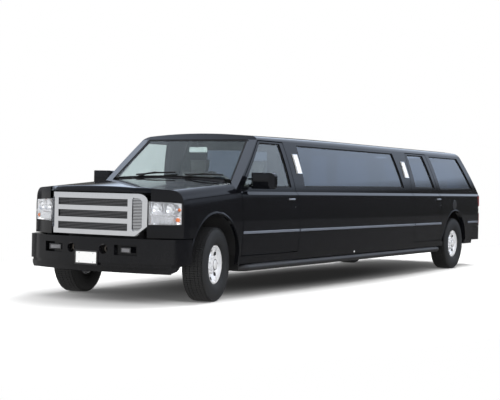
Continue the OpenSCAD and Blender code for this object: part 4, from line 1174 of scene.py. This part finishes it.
def standOn(bm, spot, normal):
    # turns a block whose outer side is +X onto the surface
    side = alongZ.cross(normal).normalized()
    turn = Matrix((normal, side, normal.cross(side))).transposed().to_4x4()
    bmesh.ops.transform(bm, matrix=Matrix.Translation(spot) @ turn, verts=bm.verts)
    return bm


def plainBlock(depth, wide, tall, radius, back=0.004):
    return roundedBlock((-back, -wide / 2, -tall / 2), (depth, wide / 2, tall / 2), radius)


# liftgate: heights of the handle, plate and high stop lamp, and their blocks
rearFit = {
    "handle": 1.105, "cup": (0.008, 0.24, 0.056, 0.006),
    "bar": ((0.004, -0.095, -0.004), (0.022, 0.095, 0.016), 0.006),
    "plate": 0.930, "holder": (0.008, 0.340, 0.180, 0.004), "panel": (0.0105, 0.304, 0.150, 0.002, -0.006),
    "lamp": (0.020, 0.050, 0.018, 0.005), "lampAt": (0.075, 0.104),
    "stop": 1.753, "case": (0.007, 0.370, 0.036, 0.004), "lens": (0.011, 0.350, 0.022, 0.004, -0.004),
    "behind": -6,
}


def onGate(height, *parts):
    place = surfaceAt("liftgate", (rearFit["behind"], 0, height), alongX)
    return joined(*((standOn(bm, *place), index) for bm, index in parts))


def buildRearFittings():
    block = {k: plainBlock(*rearFit[k]) for k in ("cup", "holder", "panel", "case", "lens")}
    bm = onGate(rearFit["handle"], (block["cup"], 0), (roundedBlock(*rearFit["bar"]), 1))
    addPiece("liftgate_handle", bm, "liftgate", [trimBlack, brightPlate])
    parts = [(block["holder"], 1), (block["panel"], 0)]
    across, up = rearFit["lampAt"]
    for side in (1, -1):
        lamp = plainBlock(*rearFit["lamp"])
        bmesh.ops.translate(lamp, vec=(0, side * across, up), verts=lamp.verts)
        parts.append((lamp, 1))
    bm = onGate(rearFit["plate"], *parts)
    addPiece("rear_plate_panel", bm, "liftgate", [plateWhite, trimBlack])
    bm = onGate(rearFit["stop"], (block["case"], 1), (block["lens"], 0))
    addPiece("high_stop_lamp", bm, "liftgate", [lampRed, trimBlack])


buildRearFittings()


# side marker on each sill
marker = {"x": xFront(-3.419), "z": 0.412, "beside": 2,
          "rim": ((0.012, 0.003), (0.017, 0.004), (0.019, -0.003)),
          "lens": ((0.0004, 0.009), (0.007, 0.008), (0.012, 0.003), (0.013, -0.002))}


def buildMarkers():
    for hand, side in (("left", 1), ("right", -1)):
        start = (marker["x"], side * marker["beside"], marker["z"])
        place = surfaceAt("side_" + hand, start, (0, -side, 0))
        rim, lens = (standOn(turnedDish(marker[k], 24), *place) for k in ("rim", "lens"))
        bm = joined((rim, 1), (lens, 0))
        addPiece("side_marker_" + hand, bm, "chassis", [lampWhite, brightPlate])


buildMarkers()


# ribbed pads on the running boards below the doors
stepPad = {"y": 0.975, "top": 0.3765, "under": 0.360, "wide": 0.034, "ribs": 4, "sunk": 0.003,
           "ribHalf": 0.002, "ribFoot": 0.006, "ribIn": 0.01,
           "runs": ((xFront(-1.75), xFront(-0.80)), (xRear(0.86), xRear(1.56)))}


def buildStepPads():
    parts = []
    y, half, top = stepPad["y"], stepPad["wide"] / 2, stepPad["top"]
    for back, front in stepPad["runs"]:
        low = (back, y - half, stepPad["under"])
        high = (front, y + half, top - stepPad["sunk"])
        parts.append((roundedBlock(low, high, 0.003, 2), 0))
        for k in range(stepPad["ribs"]):
            middle = y - half + (k + 0.5) * stepPad["wide"] / stepPad["ribs"]
            low = (back + stepPad["ribIn"], middle - stepPad["ribHalf"], top - stepPad["ribFoot"])
            high = (front - stepPad["ribIn"], middle + stepPad["ribHalf"], top)
            parts.append((roundedBlock(low, high, 0.0015, 2), 0))
    addPair("step_pads", joined(*parts), "chassis", [rubberBlack])


buildStepPads()


# wheel centre caps, as deep as the disc is at a look above its middle
cap = {"look": 0.050,
       "disc": ((0.0005, 0.014), (0.030, 0.013), (0.046, 0.008), (0.052, 0.001), (0.053, -0.004)),
       "ring": ((0.053, 0.0), (0.056, 0.004), (0.060, 0.0), (0.060, -0.004))}


def buildCaps():
    for corner in corners:
        middle = boxMiddle("wheel_" + corner)
        out = Vector((0, sideOf(corner), 0))
        out.rotate(Matrix.Rotation(wheelTurn(corner), 3, "Z"))
        spot, _ = surfaceAt("wheel_" + corner, middle + out + alongZ * cap["look"], -out)
        place = middle + out * (spot - middle).dot(out)
        disc, ring = (standOn(turnedDish(cap[k], 32), place, out) for k in ("disc", "ring"))
        addPiece("wheel_cap_" + corner, joined((disc, 0), (ring, 1)), corner + "_wheel",
                 [wheelAlloy, trimBlack])


buildCaps()
print("small fittings done")


bpy.context.view_layer.update()
